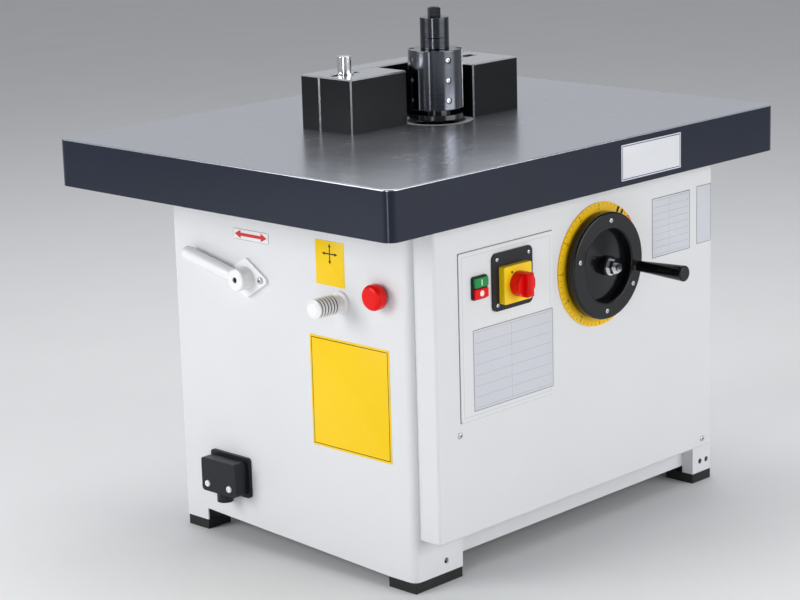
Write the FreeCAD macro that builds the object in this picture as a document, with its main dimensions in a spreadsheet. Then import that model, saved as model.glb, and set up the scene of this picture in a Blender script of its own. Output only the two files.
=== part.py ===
import FreeCAD, Part
import math
import os
import Sketcher

# A floor-standing spindle moulder. Millimetres; +X right along the front, -Y towards the operator, +Z up.
# The origin lies on the floor, under the middle of the box that holds the whole machine.

SIZES = {
    # Shared clearances and overruns
    "overrun": 2,
    "running_clearance": 0.05,
    "seat_clearance": 0.02,
    "slide_clearance": 0.3,
    # Cast table
    "table_width": 1154,
    "table_depth": 930,
    "table_height": 816,
    "skirt_height": 96,
    "skirt_wall": 16,
    "table_plate": 22,
    "table_corner": 22,
    "table_edge": 3,
    "rib_wall": 14,
    "rib_outset": 6,
    "table_bore_radius": 66,
    "ring_outer_radius": 75,
    "ring_bore_radius": 60,
    "ring_depth": 12,
    "ring_drop": 0.3,
    # Sheet cabinet
    "sheet": 3,
    "left_overhang": 147,
    "right_overhang": 79,
    "shaft_run": 239,
    "motor_clearance": 31,
    "left_post_radius": 16,
    "right_post_radius": 5,
    "left_foot_width": 132,
    "right_foot_width": 64,
    "side_foot_width": 72,
    "rear_foot_width": 62,
    "front_recess": 28,
    "rear_flange": 30,
    "notch_height": 25,
    "foot_hole_radius": 6,
    "foot_hole_height": 24,
    "left_foot_hole_inset": 46,
    "right_foot_hole_inset": 38,
    "right_foot_hole_pitch": 22,
    "sill_lift": 15,
    "front_lap": 24,
    "pad_height": 21,
    "pad_inset": 1,
    "pad_width": 60,
    "vent_width": 190,
    "vent_height": 9,
    "vent_pitch": 24,
    "vent_rows": 8,
    "vent_base": 300,
    # Control cover and what it carries
    "cover_margin": 15,
    "cover_right_margin": 69.5,
    "cover_depth": 52,
    "cover_bottom": 103,
    "cover_top_gap": 6,
    "cover_corner_radius": 6,
    "panel_width": 266,
    "panel_height": 324,
    "panel_depth": 2.5,
    "panel_left": 64,
    "panel_drop": 60,
    "panel_corner": 3,
    "switch_plate_width": 114,
    "switch_plate_height": 112,
    "switch_plate_depth": 4,
    "switch_plate_corner": 12,
    "switch_right": 210,
    "switch_drop": 131,
    "switch_block_width": 78,
    "switch_block_height": 72,
    "switch_block_depth": 13,
    "switch_block_corner": 4,
    "switch_block_drop": 7,
    "switch_disc_radius": 24,
    "switch_disc_depth": 22,
    "switch_grip_length": 46,
    "switch_grip_width": 17,
    "switch_grip_depth": 13,
    "switch_grip_corner": 6,
    "switch_stub_radius": 9,
    "switch_stub_depth": 6,
    "button_right": 117,
    "button_drop": 131,
    "bezel_width": 42,
    "bezel_height": 45,
    "bezel_depth": 4,
    "bezel_corner": 5,
    "button_width": 36,
    "button_height": 18,
    "button_gap": 3,
    "button_depth": 6,
    "button_travel": 3,
    "button_corner": 2,
    "dial_outer_radius": 124,
    "dial_inner_radius": 60,
    "dial_depth": 3,
    # Handwheel and its shaft
    "dial_gap": 17,
    "wheel_drop": 158,
    "wheel_gap": 2,
    "rim_radius": 107,
    "rim_inner_radius": 73,
    "rim_depth": 22,
    "rim_edge": 4,
    "hub_radius": 20,
    "hub_depth": 26,
    "web_thickness": 5,
    "web_hub_lift": 6,
    "web_rim_lift": 1,
    "wheel_shaft_radius": 12,
    "wheel_seat_radius": 10,
    "wheel_thread_radius": 8,
    "wheel_nut_radius": 15,
    "wheel_nut_depth": 12,
    "wheel_washer_radius": 18,
    "wheel_washer_depth": 3,
    "wheel_thread_end": 8,
    "crank_radius": 90,
    "crank_angle": -10,
    "crank_pin_radius": 6,
    "crank_collar_radius": 10,
    "crank_collar_depth": 5,
    "crank_pin_length": 92,
    "grip_length": 114,
    "grip_root_radius": 10.5,
    "grip_tip_radius": 16,
    "grip_edge": 2.5,
    "bushing_radius": 20,
    "bushing_flange_radius": 34,
    "bushing_flange_depth": 6,
    "bushing_tail": 24,
    "lock_collar_radius": 35,
    "lock_collar_depth": 20,
    "lock_collar_start": 52,
    # Mitre bevel pair
    "gear_teeth": 16,
    "gear_radius": 30,
    "gear_face": 12,
    "gear_addendum": 2.6,
    "gear_dedendum": 3.4,
    "gear_tip_half": 1.3,
    "gear_root_half": 3.2,
    "gear_hub_depth": 12,
    "gear_hub_radius": 18,
    "gear_sink": 0.4,
    # Lead screw and its bearings
    "screw_front": 107,
    "screw_radius": 10,
    "screw_journal_radius": 8,
    "screw_journal_depth": 14,
    "screw_top_gap": 26,
    "screw_block_width": 60,
    "screw_block_height": 56,
    "bracket_width": 100,
    "bracket_wall": 12,
    "bracket_top": 60,
    "bracket_shelf": 16,
    "bracket_reach": 34,
    # Carriage on its columns
    "column_spread": 130,
    "column_back": 80,
    "column_radius": 16,
    "column_flange_radius": 36,
    "column_flange_depth": 14,
    "column_length": 398,
    "tie_height": 22,
    "tie_width": 44,
    "tie_overhang": 34,
    "carriage_drop": 204,
    "carriage_height": 100,
    "carriage_ring_radius": 75,
    "carriage_web": 44,
    "boss_radius": 32,
    "boss_drop": 85,
    "pad_face_height": 112,
    "nut_boss_radius": 33,
    "nut_height": 42,
    "nut_radius": 24,
    "arm_width": 44,
    # Quill, bearings and spindle
    "quill_radius": 60,
    "quill_neck_radius": 50,
    "quill_tail": 30,
    "quill_collar": 10,
    "quill_neck_height": 60,
    "quill_inner_radius": 34,
    "bearing_radius": 40,
    "bearing_depth": 23,
    "bearing_inset": 2,
    "journal_radius": 20,
    "spindle_mid_radius": 26,
    "spindle_neck_radius": 24,
    "arbor_radius": 12.5,
    "spindle_tail": 10,
    "spindle_right": 25,
    "spindle_front": 15.5,
    # Stack on the arbor above the table
    "flange_lift": 5,
    "flange_radius": 56,
    "flange_depth": 11,
    "flange_edge": 1.5,
    "neck_radius": 31,
    "neck_depth": 10,
    "cutter_radius": 55,
    "cutter_height": 121,
    "cutter_edge": 1.5,
    "cutter_count": 4,
    "gullet_width": 13,
    "gullet_depth": 13,
    "knife_thickness": 3,
    "knife_proud": 1.8,
    "knife_inset": 1,
    "knife_angle": 29,
    "screw_pocket_angle": 43,
    "screw_pocket_radius": 6.5,
    "screw_pocket_depth": 5,
    "screw_pocket_pitch": 41,
    "spacer_radius": 29.5,
    "spacer_edge": 1,
    "lower_spacer_height": 23,
    "upper_spacer_height": 41,
    "spindle_nut_radius": 13.5,
    "spindle_thread_radius": 8,
    "spindle_nut_height": 19,
    "arbor_end": 2,
    # Belt drive and motor
    "pulley_drop": 70,
    "pulley_height": 42,
    "pulley_flange": 6,
    "pulley_lip": 5,
    "pulley_seat_radius": 17,
    "spindle_pulley_radius": 34,
    "motor_pulley_radius": 54,
    "motor_shaft_radius": 14,
    "motor_shaft_depth": 20,
    "belt_thickness": 4,
    "belt_side_gap": 3,
    "motor_back": 190,
    "motor_radius": 85,
    "motor_length": 225,
    "motor_bell_radius": 62,
    "motor_bell_depth": 26,
    "motor_bracket_wall": 12,
    "motor_drop": 20,
    "motor_bracket_clear": 95,
    "motor_bracket_depth": 170,
    "motor_hole_radius": 32,
    # Fence
    "fence_height": 110,
    "fence_wall": 12,
    "fence_edge": 2.5,
    "bridge_depth": 53,
    "bridge_back": 151,
    "bridge_left": 236,
    "bridge_right": 159,
    "left_fence_gap": 76,
    "left_fence_length": 160,
    "left_fence_face": 8,
    "right_fence_gap": 66,
    "right_fence_length": 138,
    "right_fence_face": -44,
    "slot_width": 14,
    "slot_length": 76,
    "left_slot_left": 184,
    "left_slot_back": 77,
    "right_slot_right": 134,
    "right_slot_back": 50,
    "slot_step_width": 24,
    "slot_step_depth": 8,
    "stud_radius": 6,
    "stud_head_radius": 10,
    "stud_head_depth": 6,
    "fence_nut_radius": 14.5,
    "fence_nut_height": 34,
    "fence_nut_flange_radius": 19,
    "fence_nut_flange_depth": 3,
    "fence_nut_edge": 1.5,
    # Clamp lever on the left side
    "lever_back": 111,
    "lever_drop": 163,
    "lever_angle": 12,
    "lever_flange_length": 132,
    "lever_flange_height": 82,
    "lever_flange_depth": 6,
    "lever_flange_corner": 9,
    "lever_hub_radius": 23,
    "lever_hub_depth": 29,
    "lever_hub_edge": 5,
    "lever_arm_start": 18,
    "lever_arm_root": 14,
    "lever_arm_tip": 14.2,
    "lever_reach": 168,
    "lever_bolt_radius": 6,
    "lever_bolt_depth": 5,
    "lever_shaft_radius": 9,
    "lever_tip_gap": 0.3,
    # Lock plunger on the left side
    "lock_below_wheel": 17,
    "lock_sleeve_radius": 22,
    "lock_sleeve_depth": 6,
    "lock_boss_radius": 15,
    "lock_boss_depth": 12,
    "lock_rod_radius": 7,
    "lock_travel": 4,
    "lock_grip_radius": 19,
    "lock_neck_radius": 12,
    "lock_grip_length": 50,
    "lock_rib_count": 6,
    "lock_rib_depth": 2.2,
    # Stop button on the left side
    "stop_front": 70,
    "stop_drop": 146,
    "stop_collar_radius": 13,
    "stop_collar_depth": 5,
    "stop_head_radius": 25,
    "stop_head_depth": 20,
    "stop_head_edge": 9,
    "stop_stem_radius": 8,
    "stop_travel": 6,
    # Inlet box on the left side
    "inlet_back": 182,
    "inlet_height": 139,
    "inlet_width": 100,
    "inlet_tall": 70,
    "inlet_depth": 40,
    "inlet_flange": 7,
    "inlet_flange_depth": 7,
    "inlet_corner": 7,
    "gland_length": 18,
    "gland_bore_radius": 8,
}

PROFILE_AXIS = "V_Axis"
PARTS_FOLDER = "parts"
HEX_SIDES = 6
FULL_TURN = 360.0
LEFT_HAND = 1.0
RIGHT_HAND = -1.0
UP = FreeCAD.Rotation()
FRONT = FreeCAD.Rotation(FreeCAD.Vector(1, 0, 0), 90)
BACK = FreeCAD.Rotation(FreeCAD.Vector(1, 0, 0), -90)
LEFT = FreeCAD.Rotation(FreeCAD.Vector(0, 1, 0), -90)
TOLERANCE = 1e-4
BALL_END_SHARE = 0.9
X_AXIS = FreeCAD.Vector(1, 0, 0)
Y_AXIS = FreeCAD.Vector(0, 1, 0)
Z_AXIS = FreeCAD.Vector(0, 0, 1)


class Size:
    """A named size, or a sum worked out from named sizes: its value and its sheet expression."""

    def __init__(self, value, text):
        self.value = value
        self.text = text

    def __add__(self, other):
        other = as_size(other)
        return Size(self.value + other.value, f"({self.text} + {other.text})")

    def __sub__(self, other):
        other = as_size(other)
        return Size(self.value - other.value, f"({self.text} - {other.text})")

    def __mul__(self, other):
        other = as_size(other)
        return Size(self.value * other.value, f"({self.text} * {other.text})")

    def __truediv__(self, other):
        other = as_size(other)
        return Size(self.value / other.value, f"({self.text} / {other.text})")

    def __neg__(self):
        return Size(-self.value, f"(-1 * {self.text})")

    __radd__ = __add__
    __rmul__ = __mul__


def as_size(number):
    """Turns a plain ratio or zero into a Size."""
    if isinstance(number, Size):
        return number
    return Size(float(number), repr(float(number)))


def cosine(angle):
    return Size(math.cos(math.radians(angle.value)), f"cos({angle.text})")


def sine(angle):
    return Size(math.sin(math.radians(angle.value)), f"sin({angle.text})")


def square_root(number):
    return Size(math.sqrt(number.value), f"sqrt({number.text})")


def smaller(first, second):
    return Size(min(first.value, second.value), f"min({first.text}; {second.text})")


def apart(first, second):
    return Size(abs(first.value - second.value), f"abs({first.text} - {second.text})")


def on_circle(radius, angle):
    """The point of a circle round the origin at an angle."""
    return (cosine(angle) * radius, sine(angle) * radius)


class SizeBook:
    """The sheet's named sizes as attributes."""

    def __init__(self, document, sizes):
        sheet = document.addObject("Spreadsheet::Sheet", "Sizes")
        for row, (name, number) in enumerate(sizes.items(), start=1):
            sheet.set(f"A{row}", name)
            sheet.set(f"B{row}", str(number))
            sheet.setAlias(f"B{row}", name)
        document.recompute()
        for name in sizes:
            setattr(self, name, Size(float(sheet.get(name)), f"Sizes.{name}"))


doc = FreeCAD.newDocument("SpindleMoulder")
size = SizeBook(doc, SIZES)
zero = as_size(0)
nodes = []

# Main planes and axes, worked out from the driving sizes
front_reach = (size.screw_front + size.shaft_run + size.cover_depth + size.dial_depth + size.wheel_gap
               + size.rim_depth + size.crank_collar_depth + size.grip_length)
rear_reach = size.spindle_front + size.table_depth / 2
spindle_x = size.spindle_right
spindle_y = (front_reach - rear_reach) / 2
mid_y = spindle_y + size.spindle_front
screw_y = spindle_y - size.screw_front
column_y = spindle_y + size.column_back
motor_y = spindle_y + size.motor_back
front_y = screw_y - size.shaft_run
rear_y = motor_y + size.motor_radius + size.motor_clearance
cabinet_depth = rear_y - front_y
cabinet_width = size.table_width - size.left_overhang - size.right_overhang
left_x = size.left_overhang - size.table_width / 2
right_x = left_x + cabinet_width
skirt_bottom = size.table_height - size.skirt_height
plate_bottom = size.table_height - size.table_plate
cover_x = left_x + size.cover_margin
cover_y = front_y - size.cover_depth
cover_width = cabinet_width - size.cover_margin - size.cover_right_margin
cover_top = skirt_bottom - size.cover_top_gap
cover_height = cover_top - size.cover_bottom
wheel_x = cover_x + size.panel_left + size.panel_width + size.dial_gap + size.dial_outer_radius
wheel_z = skirt_bottom - size.wheel_drop
wheel_back_y = cover_y - size.dial_depth - size.wheel_gap
screw_top = plate_bottom - size.screw_top_gap
screw_block_base = plate_bottom - size.screw_block_height
column_base = plate_bottom - size.column_length
carriage_base = plate_bottom - size.carriage_drop
boss_base = carriage_base - size.boss_drop
quill_base = carriage_base - size.quill_tail
quill_step = carriage_base + size.carriage_height + size.quill_collar
quill_top = quill_step + size.quill_neck_height
pulley_base = quill_base - size.pulley_drop
motor_base = pulley_base - size.motor_drop
lever_z = skirt_bottom - size.lever_drop
lock_y = screw_y - size.lock_collar_start - size.lock_collar_depth / 2
lock_z = wheel_z - size.lock_below_wheel
stop_y = front_y + size.stop_front
stop_z = skirt_bottom - size.stop_drop
left_stud = (spindle_x - size.left_slot_left, spindle_y + size.left_slot_back)
right_stud = (spindle_x + size.right_slot_right, spindle_y + size.right_slot_back)


def bind(target, prop, length):
    """Ties a property to the sheet."""
    target.setExpression(prop, length.text)


def place(target, x, y, z, turn=UP):
    """Puts a sub-part at its place, with its own Z axis turned as stated."""
    target.Placement = FreeCAD.Placement(FreeCAD.Vector(x.value, y.value, z.value), turn)
    for axis, distance in (("x", x), ("y", y), ("z", z)):
        bind(target, f"Placement.Base.{axis}", distance)


def turn_about_z(target, angle):
    """Turns a placed sub-part about its own upright axis."""
    target.Placement = FreeCAD.Placement(target.Placement.Base, FreeCAD.Rotation(Z_AXIS, angle.value))
    bind(target, "Placement.Rotation.Angle", angle)


def node(target, label):
    """Names a finished sub-part."""
    target.Label = label
    nodes.append(target)
    return target


def new_body(label, x, y, z, turn=UP):
    body = doc.addObject("PartDesign::Body", label)
    place(body, x, y, z, turn)
    return node(body, label)


def sketch_on(body, role, lift=None):
    """A sketch on one of the body's own planes, moved along that plane's normal."""
    sketch = body.newObject("Sketcher::SketchObject", "Profile")
    support = [feature for feature in body.Origin.OriginFeatures if feature.Role == role][0]
    sketch.AttachmentSupport = (support, [""])
    sketch.MapMode = "FlatFace"
    if lift is not None:
        bind(sketch, "AttachmentOffset.Base.z", lift)
    return sketch


def pin_points(sketch, pins):
    """Fixes sketch points by their distances from the sketch's origin."""
    constraints = []
    for geometry, point, x, y in pins:
        constraints.append(Sketcher.Constraint("DistanceX", -1, 1, geometry, point, x.value))
        constraints.append(Sketcher.Constraint("DistanceY", -1, 1, geometry, point, y.value))
    first = sketch.addConstraint(constraints)[0]
    for index, (geometry, point, x, y) in enumerate(pins):
        sketch.setExpression(f"Constraints[{first + 2 * index}]", x.text)
        sketch.setExpression(f"Constraints[{first + 2 * index + 1}]", y.text)


def outline(sketch, points):
    """A closed outline of straight sides through the points."""
    points = [(as_size(x), as_size(y)) for x, y in points]
    count = len(points)
    corners = [FreeCAD.Vector(x.value, y.value, 0) for x, y in points]
    sides = [Part.LineSegment(corners[i], corners[(i + 1) % count]) for i in range(count)]
    first = sketch.addGeometry(sides, False)[0]
    sketch.addConstraint([Sketcher.Constraint("Coincident", first + i, 2, first + (i + 1) % count, 1)
                          for i in range(count)])
    pin_points(sketch, [(first + i, 1, x, y) for i, (x, y) in enumerate(points)])


def rectangle(sketch, left, low, width, height):
    right = left + width
    high = low + height
    outline(sketch, [(left, low), (right, low), (right, high), (left, high)])


def circle(sketch, x, y, radius):
    x, y = as_size(x), as_size(y)
    ring = Part.Circle(FreeCAD.Vector(x.value, y.value, 0), FreeCAD.Vector(0, 0, 1), radius.value)
    index = sketch.addGeometry(ring, False)
    pin_points(sketch, [(index, 3, x, y)])
    constraint = sketch.addConstraint(Sketcher.Constraint("Radius", index, radius.value))
    sketch.setExpression(f"Constraints[{constraint}]", radius.text)


def pad(body, sketch, length):
    feature = body.newObject("PartDesign::Pad", "Pad")
    feature.Profile = sketch
    bind(feature, "Length", length)
    return feature


def cut(body, sketch, length, forward=True):
    """Cuts along the sketch's normal, or against it."""
    doc.recompute()
    before = body.Shape.Volume
    feature = body.newObject("PartDesign::Pocket", "Cut")
    feature.Profile = sketch
    bind(feature, "Length", length)
    feature.Reversed = forward
    doc.recompute()
    if body.Shape.Volume >= before:
        raise RuntimeError(f"a cut of {body.Label} removes nothing")
    return feature


def round_edges(body, radius, wanted, kind="PartDesign::Fillet"):
    """Rounds or chamfers every edge of the body that the test accepts."""
    doc.recompute()
    base = body.Tip
    names = [f"Edge{i}" for i, edge in enumerate(base.Shape.Edges, start=1) if wanted(edge)]
    feature = body.newObject(kind, "Rounding")
    feature.Base = (base, names)
    bind(feature, "Radius" if kind.endswith("Fillet") else "Size", radius)
    doc.recompute()
    return feature


def along(edge, axis):
    """True for a straight edge parallel to the axis."""
    if edge.Degenerated or not isinstance(edge.Curve, Part.Line):
        return False
    return abs(abs(edge.Curve.Direction.dot(axis)) - 1.0) < TOLERANCE


def near(number, target):
    target = target.value if isinstance(target, Size) else target
    return abs(number - target) < TOLERANCE


def polar_pattern(body, features, sketch, count):
    pattern = body.newObject("PartDesign::PolarPattern", "Pattern")
    pattern.Originals = features
    pattern.Axis = (sketch, ["N_Axis"])
    pattern.Angle = FULL_TURN
    bind(pattern, "Occurrences", count)
    body.Tip = pattern
    doc.recompute()
    return pattern


def turned(label, profile, x, y, z, turn=UP):
    """A turned piece: its half profile (radius, height) spun round its own Z axis."""
    body = new_body(label, x, y, z, turn)
    sketch = sketch_on(body, "XZ_Plane")
    outline(sketch, profile)
    feature = body.newObject("PartDesign::Revolution", "Turning")
    feature.Profile = sketch
    feature.ReferenceAxis = (sketch, [PROFILE_AXIS])
    feature.Angle = FULL_TURN
    return body


def sleeve(label, inner, outer, height, x, y, z, turn=UP):
    """A plain turned ring."""
    return turned(label, [(inner, zero), (outer, zero), (outer, height), (inner, height)], x, y, z, turn)


def front_block(label, x, z, y, width, height, depth, corner):
    """A block with rounded corners that stands out from a front plane, centred on x and z."""
    body = new_body(label, x, y, z, FRONT)
    sketch = sketch_on(body, "XY_Plane")
    rectangle(sketch, -width / 2, -height / 2, width, height)
    pad(body, sketch, depth)
    round_edges(body, corner, lambda edge: along(edge, Z_AXIS))
    return body


def primitive(kind, x, y, z, turn=UP, **lengths):
    """A Part primitive with its sizes tied to the sheet."""
    shape = doc.addObject(kind, "Piece")
    for prop, length in lengths.items():
        bind(shape, prop, length)
    place(shape, x, y, z, turn)
    return shape


def cylinder(x, y, z, radius, height, turn=UP):
    return primitive("Part::Cylinder", x, y, z, turn, Radius=radius, Height=height)


def block(x, y, z, length, width, height):
    return primitive("Part::Box", x, y, z, Length=length, Width=width, Height=height)


def joined(pieces):
    fuse = doc.addObject("Part::MultiFuse", "Joined")
    fuse.Shapes = pieces
    return fuse


def cut_from(label, base, tools):
    """A node made of one shape with others taken away from it."""
    result = doc.addObject("Part::Cut", label)
    result.Base = base
    result.Tool = tools[0] if len(tools) == 1 else joined(tools)
    return node(result, label)


def side_panel(label, hand, x, foot_width, corner, wall_holes, foot_holes):
    """A side of the cabinet, folded from one sheet: wall, front post with its flange, rear flange."""
    wall = size.sheet
    body = new_body(label, x, front_y, size.pad_height)
    plan = sketch_on(body, "XY_Plane")
    depth = cabinet_depth
    outline(plan, [(hand * across, back) for across, back in (
        (zero, zero), (foot_width, zero), (foot_width, size.front_recess),
        (foot_width - wall, size.front_recess), (foot_width - wall, wall), (wall, wall),
        (wall, depth - wall), (size.rear_flange, depth - wall), (size.rear_flange, depth), (zero, depth))])
    pad(body, plan, skirt_bottom - size.pad_height)
    round_edges(body, corner, lambda edge: along(edge, Z_AXIS)
                and near(edge.CenterOfMass.x, 0) and near(edge.CenterOfMass.y, 0))
    round_edges(body, corner - wall, lambda edge: along(edge, Z_AXIS)
                and near(edge.CenterOfMass.x, hand * wall) and near(edge.CenterOfMass.y, wall))
    side = sketch_on(body, "YZ_Plane", -size.overrun)
    foot = size.side_foot_width
    rear_foot = depth - size.rear_foot_width
    outline(side, [(foot, -size.overrun), (foot, zero), (rear_foot, size.notch_height),
                   (rear_foot, -size.overrun)])
    for back, height, radius in wall_holes:
        circle(side, back - front_y, height - size.pad_height, radius)
    if hand == RIGHT_HAND:
        bind(side, "AttachmentOffset.Base.z", size.overrun)
    cut(body, side, wall + size.overrun * 2, forward=hand == LEFT_HAND)
    face = sketch_on(body, "XZ_Plane", size.overrun)
    for across in foot_holes:
        circle(face, hand * across, size.foot_hole_height, size.foot_hole_radius)
    cut(body, face, wall + size.overrun * 2, forward=False)
    return body


def cabinet():
    """The sheet cabinet on its pads."""
    lever_y = front_y + cabinet_depth / 2 + size.lever_back
    side_panel("cabinet_left", LEFT_HAND, left_x, size.left_foot_width, size.left_post_radius, [
        (lever_y, lever_z, size.lever_shaft_radius + size.slide_clearance),
        (lock_y, lock_z, size.lock_rod_radius + size.slide_clearance),
        (stop_y, stop_z, size.stop_stem_radius + size.slide_clearance),
    ], [size.left_foot_width - size.left_foot_hole_inset])
    side_panel("cabinet_right", RIGHT_HAND, right_x, size.right_foot_width, size.right_post_radius, [],
               [size.right_foot_hole_inset, size.right_foot_hole_inset - size.right_foot_hole_pitch])

    rear = new_body("cabinet_rear", left_x + size.sheet, rear_y - size.sheet, zero, FRONT)
    sheet_plan = sketch_on(rear, "XY_Plane")
    base = size.pad_height + size.notch_height
    rear_width = cabinet_width - size.sheet * 2
    rectangle(sheet_plan, zero, base, rear_width, skirt_bottom - base)
    for row in range(int(size.vent_rows.value)):
        low = size.vent_base + size.vent_pitch * row
        rectangle(sheet_plan, (rear_width - size.vent_width) / 2, low, size.vent_width, size.vent_height)
    pad(rear, sheet_plan, size.sheet)

    front = new_body("cabinet_front", zero, front_y + size.front_recess + size.sheet, zero, FRONT)
    sheet_plan = sketch_on(front, "XY_Plane")
    start = left_x + size.left_foot_width - size.front_lap
    end = right_x - size.right_foot_width + size.front_lap
    base = size.pad_height + size.sill_lift
    rectangle(sheet_plan, start, base, end - start, skirt_bottom - base)
    circle(sheet_plan, wheel_x, wheel_z, size.bushing_radius + size.seat_clearance)
    pad(front, sheet_plan, size.sheet)

    pads = []
    inset = size.pad_inset
    front_depth = size.side_foot_width - inset
    rear_depth = size.rear_foot_width - inset * 2
    right_start = right_x - size.right_foot_width
    for start, foot in ((left_x, size.left_foot_width), (right_start, size.right_foot_width)):
        pads.append(block(start + inset, front_y + inset, zero, foot - inset * 2, front_depth,
                          size.pad_height))
    for x in (left_x + inset, right_x - inset - size.pad_width):
        pads.append(block(x, rear_y - inset - rear_depth, zero, size.pad_width, rear_depth, size.pad_height))
    group = doc.addObject("Part::Compound", "foot_pads")
    group.Links = pads
    node(group, "foot_pads")


def table():
    """The cast table: plate, skirt, the rib frame over the cabinet walls, and the spindle's bore."""
    body = new_body("table", zero, mid_y, zero)
    plan = sketch_on(body, "XY_Plane", skirt_bottom)
    rectangle(plan, -size.table_width / 2, -size.table_depth / 2, size.table_width, size.table_depth)
    pad(body, plan, size.skirt_height)
    round_edges(body, size.table_corner, lambda edge: along(edge, Z_AXIS))
    round_edges(body, size.table_edge, lambda edge: near(edge.BoundBox.ZMin, size.table_height))
    depth = size.skirt_height - size.table_plate
    inner_width = size.table_width - size.skirt_wall * 2
    inner_depth = size.table_depth - size.skirt_wall * 2
    frame_left = left_x - size.rib_outset
    frame_front = front_y - mid_y - size.rib_outset
    frame_width = cabinet_width + size.rib_outset * 2
    frame_depth = cabinet_depth + size.rib_outset * 2
    moat = sketch_on(body, "XY_Plane", skirt_bottom)
    rectangle(moat, -inner_width / 2, -inner_depth / 2, inner_width, inner_depth)
    rectangle(moat, frame_left, frame_front, frame_width, frame_depth)
    cut(body, moat, depth)
    inside = sketch_on(body, "XY_Plane", skirt_bottom)
    rectangle(inside, frame_left + size.rib_wall, frame_front + size.rib_wall,
              frame_width - size.rib_wall * 2, frame_depth - size.rib_wall * 2)
    cut(body, inside, depth)
    holes = sketch_on(body, "XY_Plane", size.table_height)
    circle(holes, spindle_x, spindle_y - mid_y, size.table_bore_radius)
    for x, y in (left_stud, right_stud):
        circle(holes, x, y - mid_y, size.stud_radius + size.seat_clearance)
    cut(body, holes, size.table_plate + size.overrun, forward=False)
    seat = sketch_on(body, "XY_Plane", size.table_height)
    circle(seat, spindle_x, spindle_y - mid_y, size.ring_outer_radius)
    cut(body, seat, size.ring_depth + size.ring_drop, forward=False)

    sleeve("table_ring", size.ring_bore_radius, size.ring_outer_radius - size.seat_clearance, size.ring_depth,
           spindle_x, spindle_y, size.table_height - size.ring_depth - size.ring_drop)


def control_cover():
    """The shallow box on the front, and the fixed pieces on its face."""
    body = new_body("control_cover", cover_x, front_y, size.cover_bottom, FRONT)
    face = sketch_on(body, "XY_Plane")
    rectangle(face, zero, zero, cover_width, cover_height)
    pad(body, face, size.cover_depth)
    round_edges(body, size.cover_corner_radius, lambda edge: near(edge.BoundBox.ZMin, size.cover_depth)
                or along(edge, Z_AXIS))
    hollow = sketch_on(body, "XY_Plane")
    wall = size.sheet
    rectangle(hollow, wall, wall, cover_width - wall * 2, cover_height - wall * 2)
    cut(body, hollow, size.cover_depth - wall)
    inner_floor = size.cover_depth - wall
    hole = sketch_on(body, "XY_Plane", inner_floor - size.overrun)
    circle(hole, wheel_x - cover_x, wheel_z - size.cover_bottom,
           size.bushing_radius + size.seat_clearance)
    cut(body, hole, wall + size.overrun * 2)

    panel_x = cover_x + size.panel_left + size.panel_width / 2
    panel_z = cover_top - size.panel_drop - size.panel_height / 2
    front_block("control_panel", panel_x, panel_z, cover_y, size.panel_width, size.panel_height,
                size.panel_depth, size.panel_corner)
    face_y = cover_y - size.panel_depth
    switch_x = cover_x + size.switch_right
    switch_z = cover_top - size.switch_drop
    front_block("switch_plate", switch_x, switch_z, face_y, size.switch_plate_width, size.switch_plate_height,
                size.switch_plate_depth, size.switch_plate_corner)
    block_y = face_y - size.switch_plate_depth
    block_z = switch_z - size.switch_block_drop
    switch = front_block("switch_block", switch_x, block_z, block_y, size.switch_block_width,
                         size.switch_block_height, size.switch_block_depth, size.switch_block_corner)
    socket = sketch_on(switch, "XY_Plane", size.switch_block_depth)
    circle(socket, zero, zero, size.switch_stub_radius + size.running_clearance)
    cut(switch, socket, size.switch_stub_depth, forward=False)
    switch_knob(switch_x, block_z, block_y - size.switch_block_depth)
    push_buttons(cover_x + size.button_right, cover_top - size.button_drop, face_y)
    sleeve("dial_ring", size.dial_inner_radius, size.dial_outer_radius, size.dial_depth,
           wheel_x, cover_y, wheel_z, FRONT)


def switch_knob(x, z, y):
    """The rotary isolator's disc and grip, on a stub in the block."""
    body = new_body("switch_knob", x, y - size.slide_clearance, z, FRONT)
    disc = sketch_on(body, "XY_Plane")
    circle(disc, zero, zero, size.switch_disc_radius)
    pad(body, disc, size.switch_disc_depth)
    grip = sketch_on(body, "XY_Plane")
    rectangle(grip, -size.switch_grip_width / 2, -size.switch_grip_length / 2,
              size.switch_grip_width, size.switch_grip_length)
    pad(body, grip, size.switch_disc_depth + size.switch_grip_depth)
    stub = sketch_on(body, "XY_Plane", -size.switch_stub_depth + size.slide_clearance)
    circle(stub, zero, zero, size.switch_stub_radius)
    pad(body, stub, size.switch_stub_depth)
    top = size.switch_disc_depth + size.switch_grip_depth
    round_edges(body, size.switch_grip_corner, lambda edge: near(edge.BoundBox.ZMin, top))


def push_buttons(x, z, y):
    """The button bezel with two windows, and a button in each."""
    bezel = front_block("button_bezel", x, z, y, size.bezel_width, size.bezel_height, size.bezel_depth,
                        size.bezel_corner)
    windows = sketch_on(bezel, "XY_Plane")
    fit = size.slide_clearance
    step = (size.button_height + size.button_gap) / 2
    for shift in (step, -step):
        rectangle(windows, -size.button_width / 2 - fit, shift - size.button_height / 2 - fit,
                  size.button_width + fit * 2, size.button_height + fit * 2)
    cut(bezel, windows, size.bezel_depth)
    for label, shift in (("green_button", step), ("red_button", -step)):
        front_block(label, x, z + shift, y - size.button_travel - fit, size.button_width, size.button_height,
                    size.button_depth, size.button_corner)


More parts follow.
